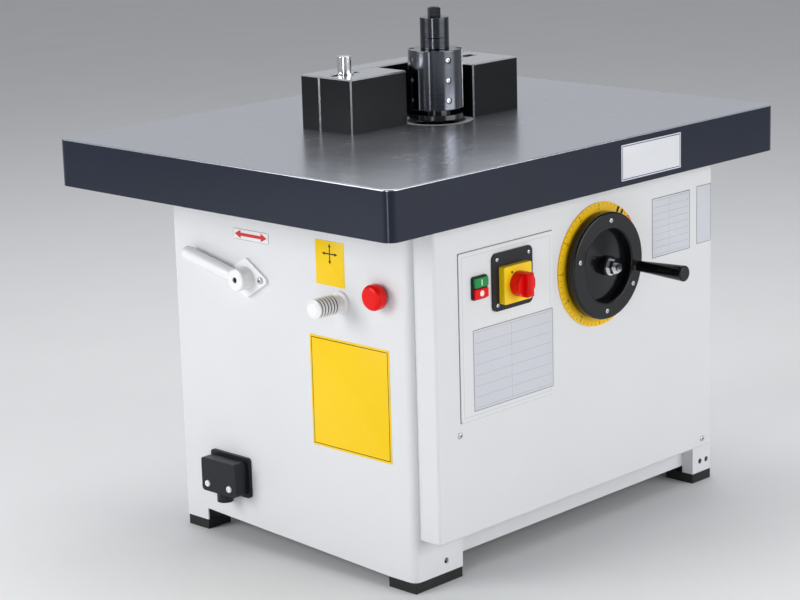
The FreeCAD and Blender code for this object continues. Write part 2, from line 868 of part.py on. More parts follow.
def handwheel():
    """The dished handwheel with its nut, crank pin and grip."""
    lift, thick = size.web_hub_lift, size.web_thickness
    body = turned("handwheel", [
        (size.wheel_seat_radius + size.seat_clearance, zero), (size.hub_radius, zero),
        (size.hub_radius, lift), (size.rim_inner_radius, size.web_rim_lift),
        (size.rim_inner_radius, zero), (size.rim_radius, zero), (size.rim_radius, size.rim_depth),
        (size.rim_inner_radius, size.rim_depth), (size.rim_inner_radius, size.web_rim_lift + thick),
        (size.hub_radius, lift + thick), (size.hub_radius, size.hub_depth),
        (size.wheel_seat_radius + size.seat_clearance, size.hub_depth)],
        wheel_x, wheel_back_y, wheel_z, FRONT)
    round_edges(body, size.rim_edge, lambda edge: rim_edge(edge))
    crank_x = cosine(size.crank_angle) * size.crank_radius
    crank_z = sine(size.crank_angle) * size.crank_radius
    hole = sketch_on(body, "XY_Plane", -size.overrun)
    circle(hole, crank_x, crank_z, size.crank_pin_radius + size.seat_clearance)
    cut(body, hole, size.rim_depth + size.overrun * 2)

    nut_y = wheel_back_y - size.hub_depth
    washer = cylinder(wheel_x, nut_y, wheel_z, size.wheel_washer_radius,
                      size.wheel_washer_depth, FRONT)
    hexagon = primitive("Part::Prism", wheel_x, nut_y - size.wheel_washer_depth, wheel_z, FRONT,
                        Circumradius=size.wheel_nut_radius, Height=size.wheel_nut_depth)
    hexagon.Polygon = HEX_SIDES
    nut_bore = cylinder(wheel_x, nut_y + size.overrun, wheel_z,
                        size.wheel_thread_radius + size.seat_clearance,
                        size.wheel_washer_depth + size.wheel_nut_depth + size.overrun * 2, FRONT)
    cut_from("wheel_nut", joined([washer, hexagon]), [nut_bore])

    rim_y = wheel_back_y - size.rim_depth
    grip_x = wheel_x + crank_x
    grip_z = wheel_z + crank_z
    pin, collar = size.crank_pin_radius, size.crank_collar_radius
    turned("crank_pin", [(zero, -size.rim_depth), (pin, -size.rim_depth), (pin, zero), (collar, zero),
                         (collar, size.crank_collar_depth - size.slide_clearance),
                         (pin, size.crank_collar_depth - size.slide_clearance),
                         (pin, size.crank_pin_length), (zero, size.crank_pin_length)],
           grip_x, rim_y, grip_z, FRONT)
    bore = pin + size.running_clearance
    depth = size.crank_pin_length - size.crank_collar_depth + size.overrun
    grip = turned("crank_grip", [(bore, zero), (size.grip_root_radius, zero),
                                 (size.grip_tip_radius, size.grip_length), (zero, size.grip_length),
                                 (zero, depth), (bore, depth)],
                  grip_x, rim_y - size.crank_collar_depth, grip_z, FRONT)
    round_edges(grip, size.grip_edge, lambda edge: near(edge.BoundBox.ZMin, size.grip_length)
                or (near(edge.BoundBox.ZMax, 0) and near(edge.BoundBox.XMax, size.grip_root_radius)))


def rim_edge(edge):
    """True for the round edges of the handwheel's rim."""
    reach = edge.BoundBox.XMax
    if near(reach, size.rim_radius):
        return True
    return near(reach, size.rim_inner_radius) and near(edge.BoundBox.ZMin, size.rim_depth)


def wheel_shaft():
    """The handwheel's shaft, from its thread to the bevel pinion, and the bushing it turns in."""
    full, seat, thread = size.wheel_shaft_radius, size.wheel_seat_radius, size.wheel_thread_radius
    hub_start = screw_y - wheel_back_y
    pinion_end = size.gear_radius + size.gear_hub_depth
    collar_end = size.lock_collar_start + size.lock_collar_depth
    hub_end = hub_start + size.hub_depth
    tip = hub_end + size.wheel_washer_depth + size.wheel_nut_depth + size.wheel_thread_end
    turned("wheel_shaft", [
        (zero, size.gear_radius - size.gear_face), (seat, size.gear_radius - size.gear_face),
        (seat, pinion_end),
        (full, pinion_end), (full, size.lock_collar_start), (size.lock_collar_radius, size.lock_collar_start),
        (size.lock_collar_radius, collar_end), (full, collar_end), (full, hub_start), (seat, hub_start),
        (seat, hub_end), (thread, hub_end), (thread, tip), (zero, tip)],
        wheel_x, screw_y, wheel_z, FRONT)
    bore = full + size.running_clearance
    tail = front_y + size.front_recess + size.sheet + size.bracket_wall + size.bushing_tail
    length = tail - cover_y
    flange_end = size.bushing_tail
    flange_start = flange_end - size.bushing_flange_depth
    outer, flange = size.bushing_radius, size.bushing_flange_radius
    turned("shaft_bushing", [
        (bore, zero), (outer, zero), (outer, flange_start), (flange, flange_start), (flange, flange_end),
        (outer, flange_end), (outer, length), (bore, length)],
        wheel_x, tail, wheel_z, FRONT)


def bevel_gear(label, x, y, z, turn, bore, phase):
    """A mitre bevel gear whose cones meet at its own origin; its teeth shrink towards that point."""
    radius = size.gear_radius.value
    small = 1.0 - size.gear_face.value / (radius * math.sqrt(2))
    slant = math.sqrt(0.5)
    tip = size.gear_addendum.value * slant
    root = size.gear_dedendum.value * slant
    sunk = root + size.gear_sink.value

    def tooth(angle):
        faces = []
        for share in (1.0, small):
            rows = ((tip, size.gear_tip_half.value), (-sunk, size.gear_root_half.value))
            corners = [FreeCAD.Vector(radius + step, side * half, step - radius) * share
                       for step, half in rows for side in (-1, 1)]
            corners = [corners[0], corners[1], corners[3], corners[2], corners[0]]
            faces.append(Part.makePolygon(corners))
        solid = Part.makeLoft(faces, True, True)
        solid.rotate(FreeCAD.Vector(), Z_AXIS, angle)
        return solid

    back = -radius - size.gear_hub_depth.value
    hub = size.gear_hub_radius.value
    profile = [(bore.value, -radius * small - root * small),
               (radius * small - root * small, -(radius + root) * small),
               (radius - root, -radius - root), (hub, -radius - root), (hub, back), (bore.value, back)]
    points = [FreeCAD.Vector(across, 0, height) for across, height in profile]
    blank = Part.Face(Part.makePolygon(points + points[:1])).revolve(FreeCAD.Vector(), Z_AXIS, FULL_TURN)
    count = int(size.gear_teeth.value)
    teeth = [tooth(phase + FULL_TURN * index / count) for index in range(count)]
    gear = doc.addObject("Part::Feature", label)
    gear.Shape = blank.fuse(teeth).removeSplitter()
    place(gear, x, y, z, turn)
    return node(gear, label)


def rise_and_fall():
    """Bevel pair, lead screw, gear bracket and the screw's top bearing."""
    half_pitch = FULL_TURN / size.gear_teeth.value / 2
    bevel_gear("bevel_pinion", wheel_x, screw_y, wheel_z, BACK,
               size.wheel_seat_radius + size.seat_clearance, FULL_TURN / 4)
    bevel_gear("bevel_gear", wheel_x, screw_y, wheel_z, UP,
               size.screw_radius + size.seat_clearance, half_pitch - FULL_TURN / 4)
    gear_back = wheel_z - size.gear_radius - size.gear_hub_depth
    shelf_top = gear_back - size.slide_clearance
    journal_end = shelf_top - size.screw_journal_depth
    turned("lead_screw", [(zero, journal_end), (size.screw_journal_radius, journal_end),
                          (size.screw_journal_radius, gear_back), (size.screw_radius, gear_back),
                          (size.screw_radius, screw_top), (zero, screw_top)],
           wheel_x, screw_y, zero)

    wall_y = front_y + size.front_recess + size.sheet
    reach = screw_y + size.bracket_reach - wall_y
    bracket = new_body("gear_bracket", wheel_x - size.bracket_width / 2, wall_y, zero)
    side = sketch_on(bracket, "YZ_Plane")
    shelf_low = shelf_top - size.bracket_shelf
    high = wheel_z + size.bracket_top
    outline(side, [(zero, shelf_low), (reach, shelf_low), (reach, shelf_top), (size.bracket_wall, shelf_top),
                   (size.bracket_wall, high), (zero, high)])
    pad(bracket, side, size.bracket_width)
    face = sketch_on(bracket, "XZ_Plane", size.overrun)
    circle(face, size.bracket_width / 2, wheel_z, size.bushing_radius + size.seat_clearance)
    cut(bracket, face, size.bracket_wall + size.overrun * 2, forward=False)
    foot = sketch_on(bracket, "XY_Plane", shelf_low - size.overrun)
    circle(foot, size.bracket_width / 2, screw_y - wall_y, size.screw_journal_radius + size.running_clearance)
    cut(bracket, foot, size.bracket_shelf + size.overrun * 2)

    width = size.screw_block_width
    base = block(wheel_x - width / 2, screw_y - width / 2, screw_block_base, width, width,
                 plate_bottom - screw_block_base)
    bore = cylinder(wheel_x, screw_y, screw_block_base - size.overrun,
                    size.screw_radius + size.running_clearance,
                    screw_top - screw_block_base + size.overrun * 2)
    cut_from("screw_bearing", base, [bore])


def carriage():
    """The rise-and-fall carriage, its columns, quill and bearings."""
    columns = [spindle_x - size.column_spread, spindle_x + size.column_spread]
    top = carriage_base + size.carriage_height
    boss_height = top - boss_base
    nut_base = top - size.nut_height
    web_y = column_y + size.boss_radius - size.carriage_web
    pieces = [cylinder(spindle_x, spindle_y, carriage_base, size.carriage_ring_radius, size.carriage_height),
              block(columns[0], web_y, carriage_base, size.column_spread * 2, size.carriage_web,
                    size.carriage_height),
              block(columns[0] - size.boss_radius, column_y, boss_base, size.boss_radius, size.boss_radius,
                    size.pad_face_height),
              block(wheel_x - size.arm_width / 2, screw_y, nut_base, size.arm_width, size.screw_front,
                    size.nut_height),
              block(smaller(spindle_x, wheel_x), spindle_y - size.arm_width / 2, nut_base,
                    apart(spindle_x, wheel_x), size.arm_width, size.nut_height),
              cylinder(wheel_x, screw_y, nut_base, size.nut_boss_radius, size.nut_height)]
    pieces += [cylinder(x, column_y, boss_base, size.boss_radius, boss_height) for x in columns]
    low = boss_base - size.overrun
    reach = boss_height + size.overrun * 2
    bores = [cylinder(x, column_y, low, size.column_radius + size.running_clearance, reach) for x in columns]
    bores.append(cylinder(spindle_x, spindle_y, low, size.quill_radius + size.seat_clearance, reach))
    bores.append(cylinder(wheel_x, screw_y, low, size.nut_radius + size.seat_clearance, reach))
    cut_from("carriage", joined(pieces), bores)
    sleeve("lead_nut", size.screw_radius + size.running_clearance, size.nut_radius, size.nut_height,
           wheel_x, screw_y, nut_base)

    rods = []
    for x in columns:
        rod = cylinder(x, column_y, column_base, size.column_radius, plate_bottom - column_base)
        flange = cylinder(x, column_y, plate_bottom - size.column_flange_depth, size.column_flange_radius,
                          size.column_flange_depth)
        rods.append(joined([rod, flange]))
    group = doc.addObject("Part::Compound", "guide_columns")
    group.Links = rods
    node(group, "guide_columns")
    bar = block(columns[0] - size.tie_overhang, column_y - size.tie_width / 2, column_base,
                (size.column_spread + size.tie_overhang) * 2, size.tie_width, size.tie_height)
    sockets = [cylinder(x, column_y, column_base - size.overrun, size.column_radius + size.seat_clearance,
                        size.tie_height + size.overrun * 2) for x in columns]
    cut_from("column_tie", bar, sockets)

    inner, seat = size.quill_inner_radius, size.bearing_radius + size.seat_clearance
    base, high = quill_base, quill_top
    step = size.bearing_inset + size.bearing_depth
    turned("quill", [(seat, base), (size.quill_radius, base), (size.quill_radius, quill_step),
                     (size.quill_neck_radius, quill_step), (size.quill_neck_radius, high), (seat, high),
                     (seat, high - step), (inner, high - step), (inner, base + step), (seat, base + step)],
           spindle_x, spindle_y, zero)
    rings = []
    for z in (base + size.bearing_inset, high - step):
        outer = cylinder(spindle_x, spindle_y, z, size.bearing_radius, size.bearing_depth)
        hole = cylinder(spindle_x, spindle_y, z - size.overrun, size.journal_radius + size.running_clearance,
                        size.bearing_depth + size.overrun * 2)
        ring = doc.addObject("Part::Cut", "BearingRing")
        ring.Base = outer
        ring.Tool = hole
        rings.append(ring)
    group = doc.addObject("Part::Compound", "spindle_bearings")
    group.Links = rings
    node(group, "spindle_bearings")


def spindle():
    """The spindle shaft and all that is clamped on its arbor."""
    step = size.bearing_inset + size.bearing_depth + size.slide_clearance
    low_bearing = quill_base + step
    high_bearing = quill_top - step
    shoulder = size.table_height + size.flange_lift
    nut_top = (shoulder + size.flange_depth + size.neck_depth + size.cutter_height + size.lower_spacer_height
               + size.upper_spacer_height + size.spindle_nut_height)
    arbor_top = nut_top - size.spindle_nut_height - size.overrun
    tip = nut_top + size.arbor_end
    thread = size.spindle_thread_radius
    pulley_top = pulley_base + size.pulley_height
    seat, journal, mid = size.pulley_seat_radius, size.journal_radius, size.spindle_mid_radius
    neck, arbor = size.spindle_neck_radius, size.arbor_radius
    tail = pulley_base - size.spindle_tail
    neck_base = quill_top + size.slide_clearance
    turned("spindle_shaft", [
        (zero, tail), (seat, tail), (seat, pulley_top), (journal, pulley_top), (journal, low_bearing),
        (mid, low_bearing), (mid, high_bearing), (journal, high_bearing), (journal, neck_base),
        (neck, neck_base), (neck, shoulder), (arbor, shoulder), (arbor, arbor_top), (thread, arbor_top),
        (thread, tip), (zero, tip)],
        spindle_x, spindle_y, zero)
    bore = arbor + size.seat_clearance
    flange_top = size.flange_depth + size.neck_depth
    flange = turned("spindle_flange", [
        (bore, zero), (size.flange_radius, zero), (size.flange_radius, size.flange_depth),
        (size.neck_radius, size.flange_depth), (size.neck_radius, flange_top), (bore, flange_top)],
        spindle_x, spindle_y, shoulder)
    round_edges(flange, size.flange_edge, lambda edge: near(edge.BoundBox.XMax, size.flange_radius))
    cutter_base = shoulder + flange_top
    cutter_block(cutter_base, bore)
    level = cutter_base + size.cutter_height
    for label, height in (("lower_spacer", size.lower_spacer_height),
                          ("upper_spacer", size.upper_spacer_height)):
        ring = sleeve(label, bore, size.spacer_radius, height, spindle_x, spindle_y, level)
        round_edges(ring, size.spacer_edge, lambda edge: near(edge.BoundBox.XMax, size.spacer_radius))
        level = level + height
    hexagon = primitive("Part::Prism", spindle_x, spindle_y, level, Circumradius=size.spindle_nut_radius,
                        Height=size.spindle_nut_height)
    hexagon.Polygon = HEX_SIDES
    tapping = cylinder(spindle_x, spindle_y, level - size.overrun, thread + size.seat_clearance,
                       size.spindle_nut_height + size.overrun * 2)
    cut_from("spindle_nut", hexagon, [tapping])


def cutter_block(base, bore):
    """The cutter block: a gullet for each knife and a column of screw pockets beside it."""
    radius, height = size.cutter_radius, size.cutter_height
    body = turned("cutter_block", [(bore, zero), (radius, zero), (radius, height), (bore, height)],
                  spindle_x, spindle_y, base)
    turn_about_z(body, size.knife_angle)
    round_edges(body, size.cutter_edge, lambda edge: near(edge.BoundBox.XMax, radius))
    plan = sketch_on(body, "XY_Plane", -size.overrun)
    floor = radius - size.gullet_depth
    rectangle(plan, floor, zero, size.gullet_depth + size.overrun, size.gullet_width)
    gullet = cut(body, plan, height + size.overrun * 2)
    polar_pattern(body, [gullet], plan, size.cutter_count)
    drills = sketch_on(body, "YZ_Plane")
    drills.AttachmentOffset = FreeCAD.Placement(
        FreeCAD.Vector(), FreeCAD.Rotation(Y_AXIS, size.screw_pocket_angle.value))
    depth_x, depth_y = on_circle(radius - size.screw_pocket_depth, size.screw_pocket_angle)
    bind(drills, "AttachmentOffset.Base.z", depth_x)
    bind(drills, "AttachmentOffset.Base.x", depth_y)
    bind(drills, "AttachmentOffset.Rotation.Angle", size.screw_pocket_angle)
    for row in (-1, 0, 1):
        circle(drills, zero, height / 2 + size.screw_pocket_pitch * row, size.screw_pocket_radius)
    pockets = cut(body, drills, size.screw_pocket_depth + size.overrun)
    polar_pattern(body, [pockets], plan, size.cutter_count)

    knives = []
    for index in range(int(size.cutter_count.value)):
        angle = size.knife_angle + as_size(FULL_TURN) / size.cutter_count * index
        across, back = on_circle(floor, angle)
        knife = block(spindle_x + across, spindle_y + back, base + size.knife_inset,
                      size.gullet_depth + size.knife_proud, size.knife_thickness,
                      height - size.knife_inset * 2)
        turn_about_z(knife, angle)
        knives.append(knife)
    group = doc.addObject("Part::Compound", "cutter_knives")
    group.Links = knives
    node(group, "cutter_knives")


def belt_drive():
    """Pulleys, belt, motor and the bracket that hangs the motor from the carriage."""
    lip, flange, tall = size.pulley_lip, size.pulley_flange, size.pulley_height

    def rims(radius):
        return [(radius + lip, zero), (radius + lip, flange), (radius, flange), (radius, tall - flange),
                (radius + lip, tall - flange), (radius + lip, tall)]

    bore = size.pulley_seat_radius + size.seat_clearance
    turned("spindle_pulley", [(bore, zero)] + rims(size.spindle_pulley_radius) + [(bore, tall)],
           spindle_x, spindle_y, pulley_base)
    motor_top = motor_base
    shaft_end = motor_top - size.motor_shaft_depth - pulley_base
    shaft = size.motor_shaft_radius
    turned("motor_pulley", [(zero, shaft_end), (shaft, shaft_end), (shaft, zero)]
           + rims(size.motor_pulley_radius) + [(zero, tall)], spindle_x, motor_y, pulley_base)

    belt = doc.addObject("Part::Feature", "belt")
    fit = size.slide_clearance.value
    outer = belt_face(fit + size.belt_thickness.value)
    inner = belt_face(fit)
    width = (tall - flange * 2 - size.belt_side_gap * 2).value
    belt.Shape = outer.cut(inner).extrude(FreeCAD.Vector(0, 0, width))
    place(belt, spindle_x, spindle_y, pulley_base + flange + size.belt_side_gap)
    node(belt, "belt")

    clear, wall = size.motor_bracket_clear, size.motor_bracket_wall
    top = carriage_base + size.carriage_height - motor_base
    bracket = new_body("motor_bracket", spindle_x, column_y + size.boss_radius + size.motor_bracket_depth,
                       motor_base, FRONT)
    channel = sketch_on(bracket, "XY_Plane")
    outline(channel, [(-clear - wall, zero), (clear + wall, zero), (clear + wall, top), (clear, top),
                      (clear, wall), (-clear, wall), (-clear, top), (-clear - wall, top)])
    pad(bracket, channel, size.motor_bracket_depth)
    floor = sketch_on(bracket, "XZ_Plane", size.overrun)
    bracket_end = column_y + size.boss_radius + size.motor_bracket_depth
    circle(floor, zero, bracket_end - motor_y, size.motor_hole_radius)
    cut(bracket, floor, wall + size.overrun * 2, forward=False)

    radius, bell = size.motor_radius, size.motor_bell_radius
    length, step = size.motor_length, size.motor_bell_depth
    hole = shaft + size.running_clearance
    depth = length - size.motor_shaft_depth - size.overrun
    turned("motor", [(zero, zero), (bell, zero), (radius, step), (radius, length - step / 2), (bell, length),
                     (hole, length), (hole, depth), (zero, depth)],
           spindle_x, motor_y, motor_top - length)


def belt_face(offset):
    """The belt's loop round both pulleys, out from their rims by the offset."""
    near_radius = size.spindle_pulley_radius.value + offset
    far_radius = size.motor_pulley_radius.value + offset
    distance = size.motor_back.value
    tilt = math.asin((far_radius - near_radius) / distance)
    along_x, along_y = math.cos(tilt), -math.sin(tilt)
    far = FreeCAD.Vector(0, distance, 0)
    side = FreeCAD.Vector(along_x, along_y, 0)
    other = FreeCAD.Vector(-along_x, along_y, 0)
    near_arc = Part.Arc(side * near_radius, FreeCAD.Vector(0, -near_radius, 0), other * near_radius)
    far_mid = far + FreeCAD.Vector(0, far_radius, 0)
    far_arc = Part.Arc(far + other * far_radius, far_mid, far + side * far_radius)
    edges = [near_arc.toShape(), Part.makeLine(other * near_radius, far + other * far_radius),
             far_arc.toShape(), Part.makeLine(far + side * far_radius, side * near_radius)]
    return Part.Face(Part.Wire(edges))


def fence_block(label, left, front, length, depth, slot):
    """A hollow cast block, open below, with rounded upright edges and a clamp slot in its top."""
    body = new_body(label, left, front, size.table_height)
    plan = sketch_on(body, "XY_Plane")
    rectangle(plan, zero, zero, length, depth)
    pad(body, plan, size.fence_height)
    round_edges(body, size.fence_edge,
                lambda edge: along(edge, Z_AXIS) or near(edge.BoundBox.ZMin, size.fence_height),
                "PartDesign::Chamfer")
    wall = size.fence_wall
    inside = sketch_on(body, "XY_Plane")
    rectangle(inside, wall, wall, length - wall * 2, depth - wall * 2)
    cut(body, inside, size.fence_height - wall)
    for x, y, width, reach, deep in slot:
        opening = sketch_on(body, "XY_Plane", size.fence_height)
        rectangle(opening, x - left - reach / 2, y - front - width / 2, reach, width)
        cut(body, opening, deep, forward=False)
    return body


def fence():
    """Rear bridge, the two fence blocks, their studs and the clamp nut."""
    bridge_y = spindle_y + size.bridge_back - size.bridge_depth
    fence_block("fence_bridge", spindle_x - size.bridge_left, bridge_y, size.bridge_left + size.bridge_right,
                size.bridge_depth, [])
    through = size.fence_wall + size.overrun
    left_y = spindle_y + size.left_fence_face
    fence_block("fence_left", spindle_x - size.left_fence_gap - size.left_fence_length, left_y,
                size.left_fence_length, bridge_y - size.slide_clearance - left_y,
                [(left_stud[0], left_stud[1], size.slot_width, size.slot_length, through)])
    right_y = spindle_y + size.right_fence_face
    fence_block("fence_right", spindle_x + size.right_fence_gap, right_y, size.right_fence_length,
                bridge_y - size.slide_clearance - right_y,
                [(right_stud[0], right_stud[1], size.slot_width, size.slot_length, through),
                 (right_stud[0], right_stud[1], size.slot_step_width, size.slot_length,
                  size.slot_step_depth)])

    fence_top = size.table_height + size.fence_height
    left_top = fence_top + size.fence_nut_flange_depth + size.fence_nut_height / 2
    head_base = fence_top - size.slot_step_depth + size.slide_clearance
    left_rod = cylinder(left_stud[0], left_stud[1], plate_bottom, size.stud_radius, left_top - plate_bottom)
    right_rod = cylinder(right_stud[0], right_stud[1], plate_bottom, size.stud_radius,
                         head_base - plate_bottom)
    head = cylinder(right_stud[0], right_stud[1], head_base, size.stud_head_radius, size.stud_head_depth)
    group = doc.addObject("Part::Compound", "fence_studs")
    group.Links = [left_rod, joined([right_rod, head])]
    node(group, "fence_studs")

    thread = size.stud_radius + size.running_clearance
    bottom = size.slide_clearance
    depth = size.fence_nut_flange_depth + size.fence_nut_height / 2 + size.overrun
    top = size.fence_nut_flange_depth + size.fence_nut_height
    nut = turned("fence_nut", [
        (thread, bottom), (size.fence_nut_flange_radius, bottom),
        (size.fence_nut_flange_radius, size.fence_nut_flange_depth),
        (size.fence_nut_radius, size.fence_nut_flange_depth),
        (size.fence_nut_radius, top), (zero, top), (zero, depth), (thread, depth)],
        left_stud[0], left_stud[1], fence_top)
    round_edges(nut, size.fence_nut_edge, lambda edge: near(edge.BoundBox.ZMin, top))


def clamp_lever():
    """The carriage clamp: two-bolt flange, lever and shaft."""
    y = front_y + cabinet_depth / 2 + size.lever_back
    z = lever_z
    flange = new_body("lever_flange", left_x, y, z, LEFT)
    face = sketch_on(flange, "XY_Plane")
    tall, long = size.lever_flange_height / 2, size.lever_flange_length / 2
    outline(face, [(-tall, zero), (zero, -long), (tall, zero), (zero, long)])
    circle(face, zero, zero, size.lever_shaft_radius + size.running_clearance)
    pad(flange, face, size.lever_flange_depth)
    round_edges(flange, size.lever_flange_corner, lambda edge: along(edge, Z_AXIS)
                and edge.CenterOfMass.Length > size.lever_hub_radius.value)

    hub_x = left_x - size.lever_flange_depth - size.slide_clearance
    hub_mid = hub_x - size.lever_hub_depth / 2
    hub = new_body("clamp_lever", hub_x, y, z, LEFT)
    disc = sketch_on(hub, "XY_Plane")
    circle(disc, zero, zero, size.lever_hub_radius)
    pad(hub, disc, size.lever_hub_depth)
    round_edges(hub, size.lever_hub_edge, lambda edge: near(edge.BoundBox.ZMin, size.lever_hub_depth))
    arm_plane = sketch_on(hub, "YZ_Plane")
    middle = size.lever_hub_depth / 2
    start, reach = size.lever_arm_start, size.lever_reach
    root, tip = size.lever_arm_root, size.lever_arm_tip
    outline(arm_plane, [(start, middle), (reach, middle), (reach, middle + tip), (start, middle + root)])
    arm = hub.newObject("PartDesign::Revolution", "Arm")
    arm.Profile = arm_plane
    arm.ReferenceAxis = (arm_plane, ["Edge1"])
    arm.Angle = FULL_TURN
    doc.recompute()
    round_edges(hub, tip * BALL_END_SHARE, lambda edge: near(edge.BoundBox.YMin, reach)
                and near(edge.BoundBox.YMax, reach))
    recess = sketch_on(hub, "XY_Plane", size.lever_hub_depth)
    circle(recess, zero, zero, size.lever_bolt_radius)
    cut(hub, recess, size.lever_bolt_depth, forward=False)
    seat = sketch_on(hub, "XY_Plane")
    circle(seat, zero, zero, size.lever_shaft_radius + size.seat_clearance)
    cut(hub, seat, middle)
    tilt = FreeCAD.Rotation(X_AXIS, size.lever_angle.value)
    hub.Placement = FreeCAD.Placement(hub.Placement.Base, tilt.multiply(LEFT))

    pad_x = spindle_x - size.column_spread - size.boss_radius
    length = pad_x - size.lever_tip_gap - hub_mid
    shaft = cylinder(hub_mid + length, y, z, size.lever_shaft_radius, length, LEFT)
    node(shaft, "lever_shaft")


def lock_plunger():
    """The height lock: sleeve on the panel, and the ribbed knob with its rod."""
    z = lock_z
    bore = size.lock_rod_radius + size.running_clearance
    boss_end = size.lock_sleeve_depth + size.lock_boss_depth
    turned("lock_sleeve", [(bore, zero), (size.lock_sleeve_radius, zero),
                           (size.lock_sleeve_radius, size.lock_sleeve_depth),
                           (size.lock_boss_radius, size.lock_sleeve_depth), (size.lock_boss_radius, boss_end),
                           (bore, boss_end)], left_x, lock_y, z, LEFT)
    drop = wheel_z - lock_z
    near_drop = drop - size.lock_rod_radius
    rim = square_root(size.lock_collar_radius * size.lock_collar_radius - near_drop * near_drop)
    tip_x = wheel_x - rim - size.lock_travel - size.slide_clearance
    rod = size.lock_rod_radius
    start = left_x - tip_x
    neck_start = boss_end + size.lock_travel + size.slide_clearance
    grip, neck = size.lock_grip_radius, size.lock_neck_radius
    end = neck_start + size.lock_grip_length
    pitch = size.lock_grip_length / (size.lock_rib_count * 2 + 1)
    profile = [(zero, start), (rod, start), (rod, neck_start), (grip, neck_start)]
    for rib in range(int(size.lock_rib_count.value)):
        low = neck_start + pitch * (2 * rib + 1)
        profile += [(grip, low), (grip - size.lock_rib_depth, low),
                    (grip - size.lock_rib_depth, low + pitch), (grip, low + pitch)]
    profile += [(grip, end), (neck, end + pitch), (zero, end + pitch)]
    turned("lock_knob", profile, left_x, lock_y, z, LEFT)


def stop_button():
    """The mushroom stop button and its collar."""
    z = stop_z
    stem, travel = size.stop_stem_radius, size.stop_travel
    collar = size.stop_collar_depth
    sleeve("stop_collar", stem + size.running_clearance, size.stop_collar_radius, collar,
           left_x, stop_y, z, LEFT)
    low = collar + travel + size.slide_clearance
    top = low + size.stop_head_depth
    head = turned("stop_head", [(zero, zero), (stem, zero), (stem, low), (size.stop_head_radius, low),
                                (size.stop_head_radius, top), (zero, top)], left_x, stop_y, z, LEFT)
    round_edges(head, size.stop_head_edge, lambda edge: near(edge.BoundBox.ZMin, top))


def inlet():
    """The supply inlet box with its back flange, and the gland under it."""
    y = front_y + cabinet_depth / 2 + size.inlet_back
    z = size.inlet_height
    body = new_body("inlet_box", left_x, y, z, LEFT)
    base = sketch_on(body, "XY_Plane")
    rim = size.inlet_flange
    rectangle(base, -size.inlet_tall / 2 - rim, -size.inlet_width / 2 - rim, size.inlet_tall + rim * 2,
              size.inlet_width + rim * 2)
    pad(body, base, size.inlet_flange_depth)
    case = sketch_on(body, "XY_Plane")
    rectangle(case, -size.inlet_tall / 2, -size.inlet_width / 2, size.inlet_tall, size.inlet_width)
    pad(body, case, size.inlet_depth)
    round_edges(body, size.inlet_corner, lambda edge: along(edge, Z_AXIS))
    gland_x = left_x - size.inlet_flange_depth - (size.inlet_depth - size.inlet_flange_depth) / 2
    gland_radius = (size.inlet_depth - size.inlet_flange_depth) / 2
    low = z - size.inlet_tall / 2 - size.gland_length
    sleeve("inlet_gland", size.gland_bore_radius, gland_radius, size.gland_length, gland_x, y, low)


def check_document():
    """Stops the build if any object failed or any sub-part has no sound shape."""
    doc.recompute()
    for item in doc.Objects:
        if "Invalid" in item.State or "Error" in item.State:
            raise RuntimeError(f"{item.Label} ({item.Name}) failed: {item.State}")
    for item in nodes:
        if item.Shape.isNull() or not item.Shape.isValid():
            raise RuntimeError(f"{item.Label} has no sound shape")


def write_parts():
    os.makedirs(PARTS_FOLDER, exist_ok=True)
    for item in nodes:
        item.Shape.exportStep(os.path.join(PARTS_FOLDER, f"{item.Label}.step"))
        print(item.Label, round(item.Shape.Volume), len(item.Shape.Solids))


for build in (cabinet, table, control_cover, handwheel, wheel_shaft, rise_and_fall, carriage, spindle,
              belt_drive, fence, clamp_lever, lock_plunger, stop_button, inlet):
    build()
check_document()
write_parts()
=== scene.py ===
"""Dresses the spindle moulder: its finishes, plates, small fasteners, floor, light and camera."""
import logging
import math
from dataclasses import dataclass, field
from enum import Enum
from typing import Callable, Iterable, Sequence

import bpy
from mathutils import Matrix, Vector


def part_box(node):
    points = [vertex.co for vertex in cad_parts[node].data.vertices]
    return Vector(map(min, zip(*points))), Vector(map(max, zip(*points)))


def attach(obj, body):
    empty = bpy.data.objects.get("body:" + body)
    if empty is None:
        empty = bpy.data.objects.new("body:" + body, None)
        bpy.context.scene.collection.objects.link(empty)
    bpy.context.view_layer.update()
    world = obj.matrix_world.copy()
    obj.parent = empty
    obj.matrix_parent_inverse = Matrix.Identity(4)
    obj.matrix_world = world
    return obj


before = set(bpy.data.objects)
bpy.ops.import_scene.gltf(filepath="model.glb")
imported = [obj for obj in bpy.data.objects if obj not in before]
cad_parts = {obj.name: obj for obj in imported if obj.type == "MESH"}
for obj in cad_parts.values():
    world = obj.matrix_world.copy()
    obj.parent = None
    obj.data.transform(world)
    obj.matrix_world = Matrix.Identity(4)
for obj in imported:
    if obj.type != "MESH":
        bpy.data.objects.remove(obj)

LOG = logging.getLogger("spindle_moulder")
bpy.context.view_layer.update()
MM = 0.001
Colour = tuple[float, float, float]
Point = tuple[float, float, float]


class Face(Enum):
    """The sides of the machine that plates and fasteners sit on, by their outward direction."""

    FRONT = (0.0, -1.0, 0.0)
    LEFT = (-1.0, 0.0, 0.0)
    REAR = (0.0, 1.0, 0.0)

    @property
    def normal(self) -> Vector:
        """The outward direction as a vector."""
        return Vector(self.value)

    @property
    def turn(self) -> Matrix:
        """The turn that takes +Z to the outward direction and keeps +Y as upright as it can be."""
        across = Vector((0, 0, 1)).cross(self.normal)
        upright = self.normal.cross(across)
        return Matrix((across, upright, self.normal)).transposed().to_4x4()


class Grain(Enum):
    """How a metal face was cut."""

    TURNED = "turned"
    BRUSHED = "brushed"
    CAST = "cast"


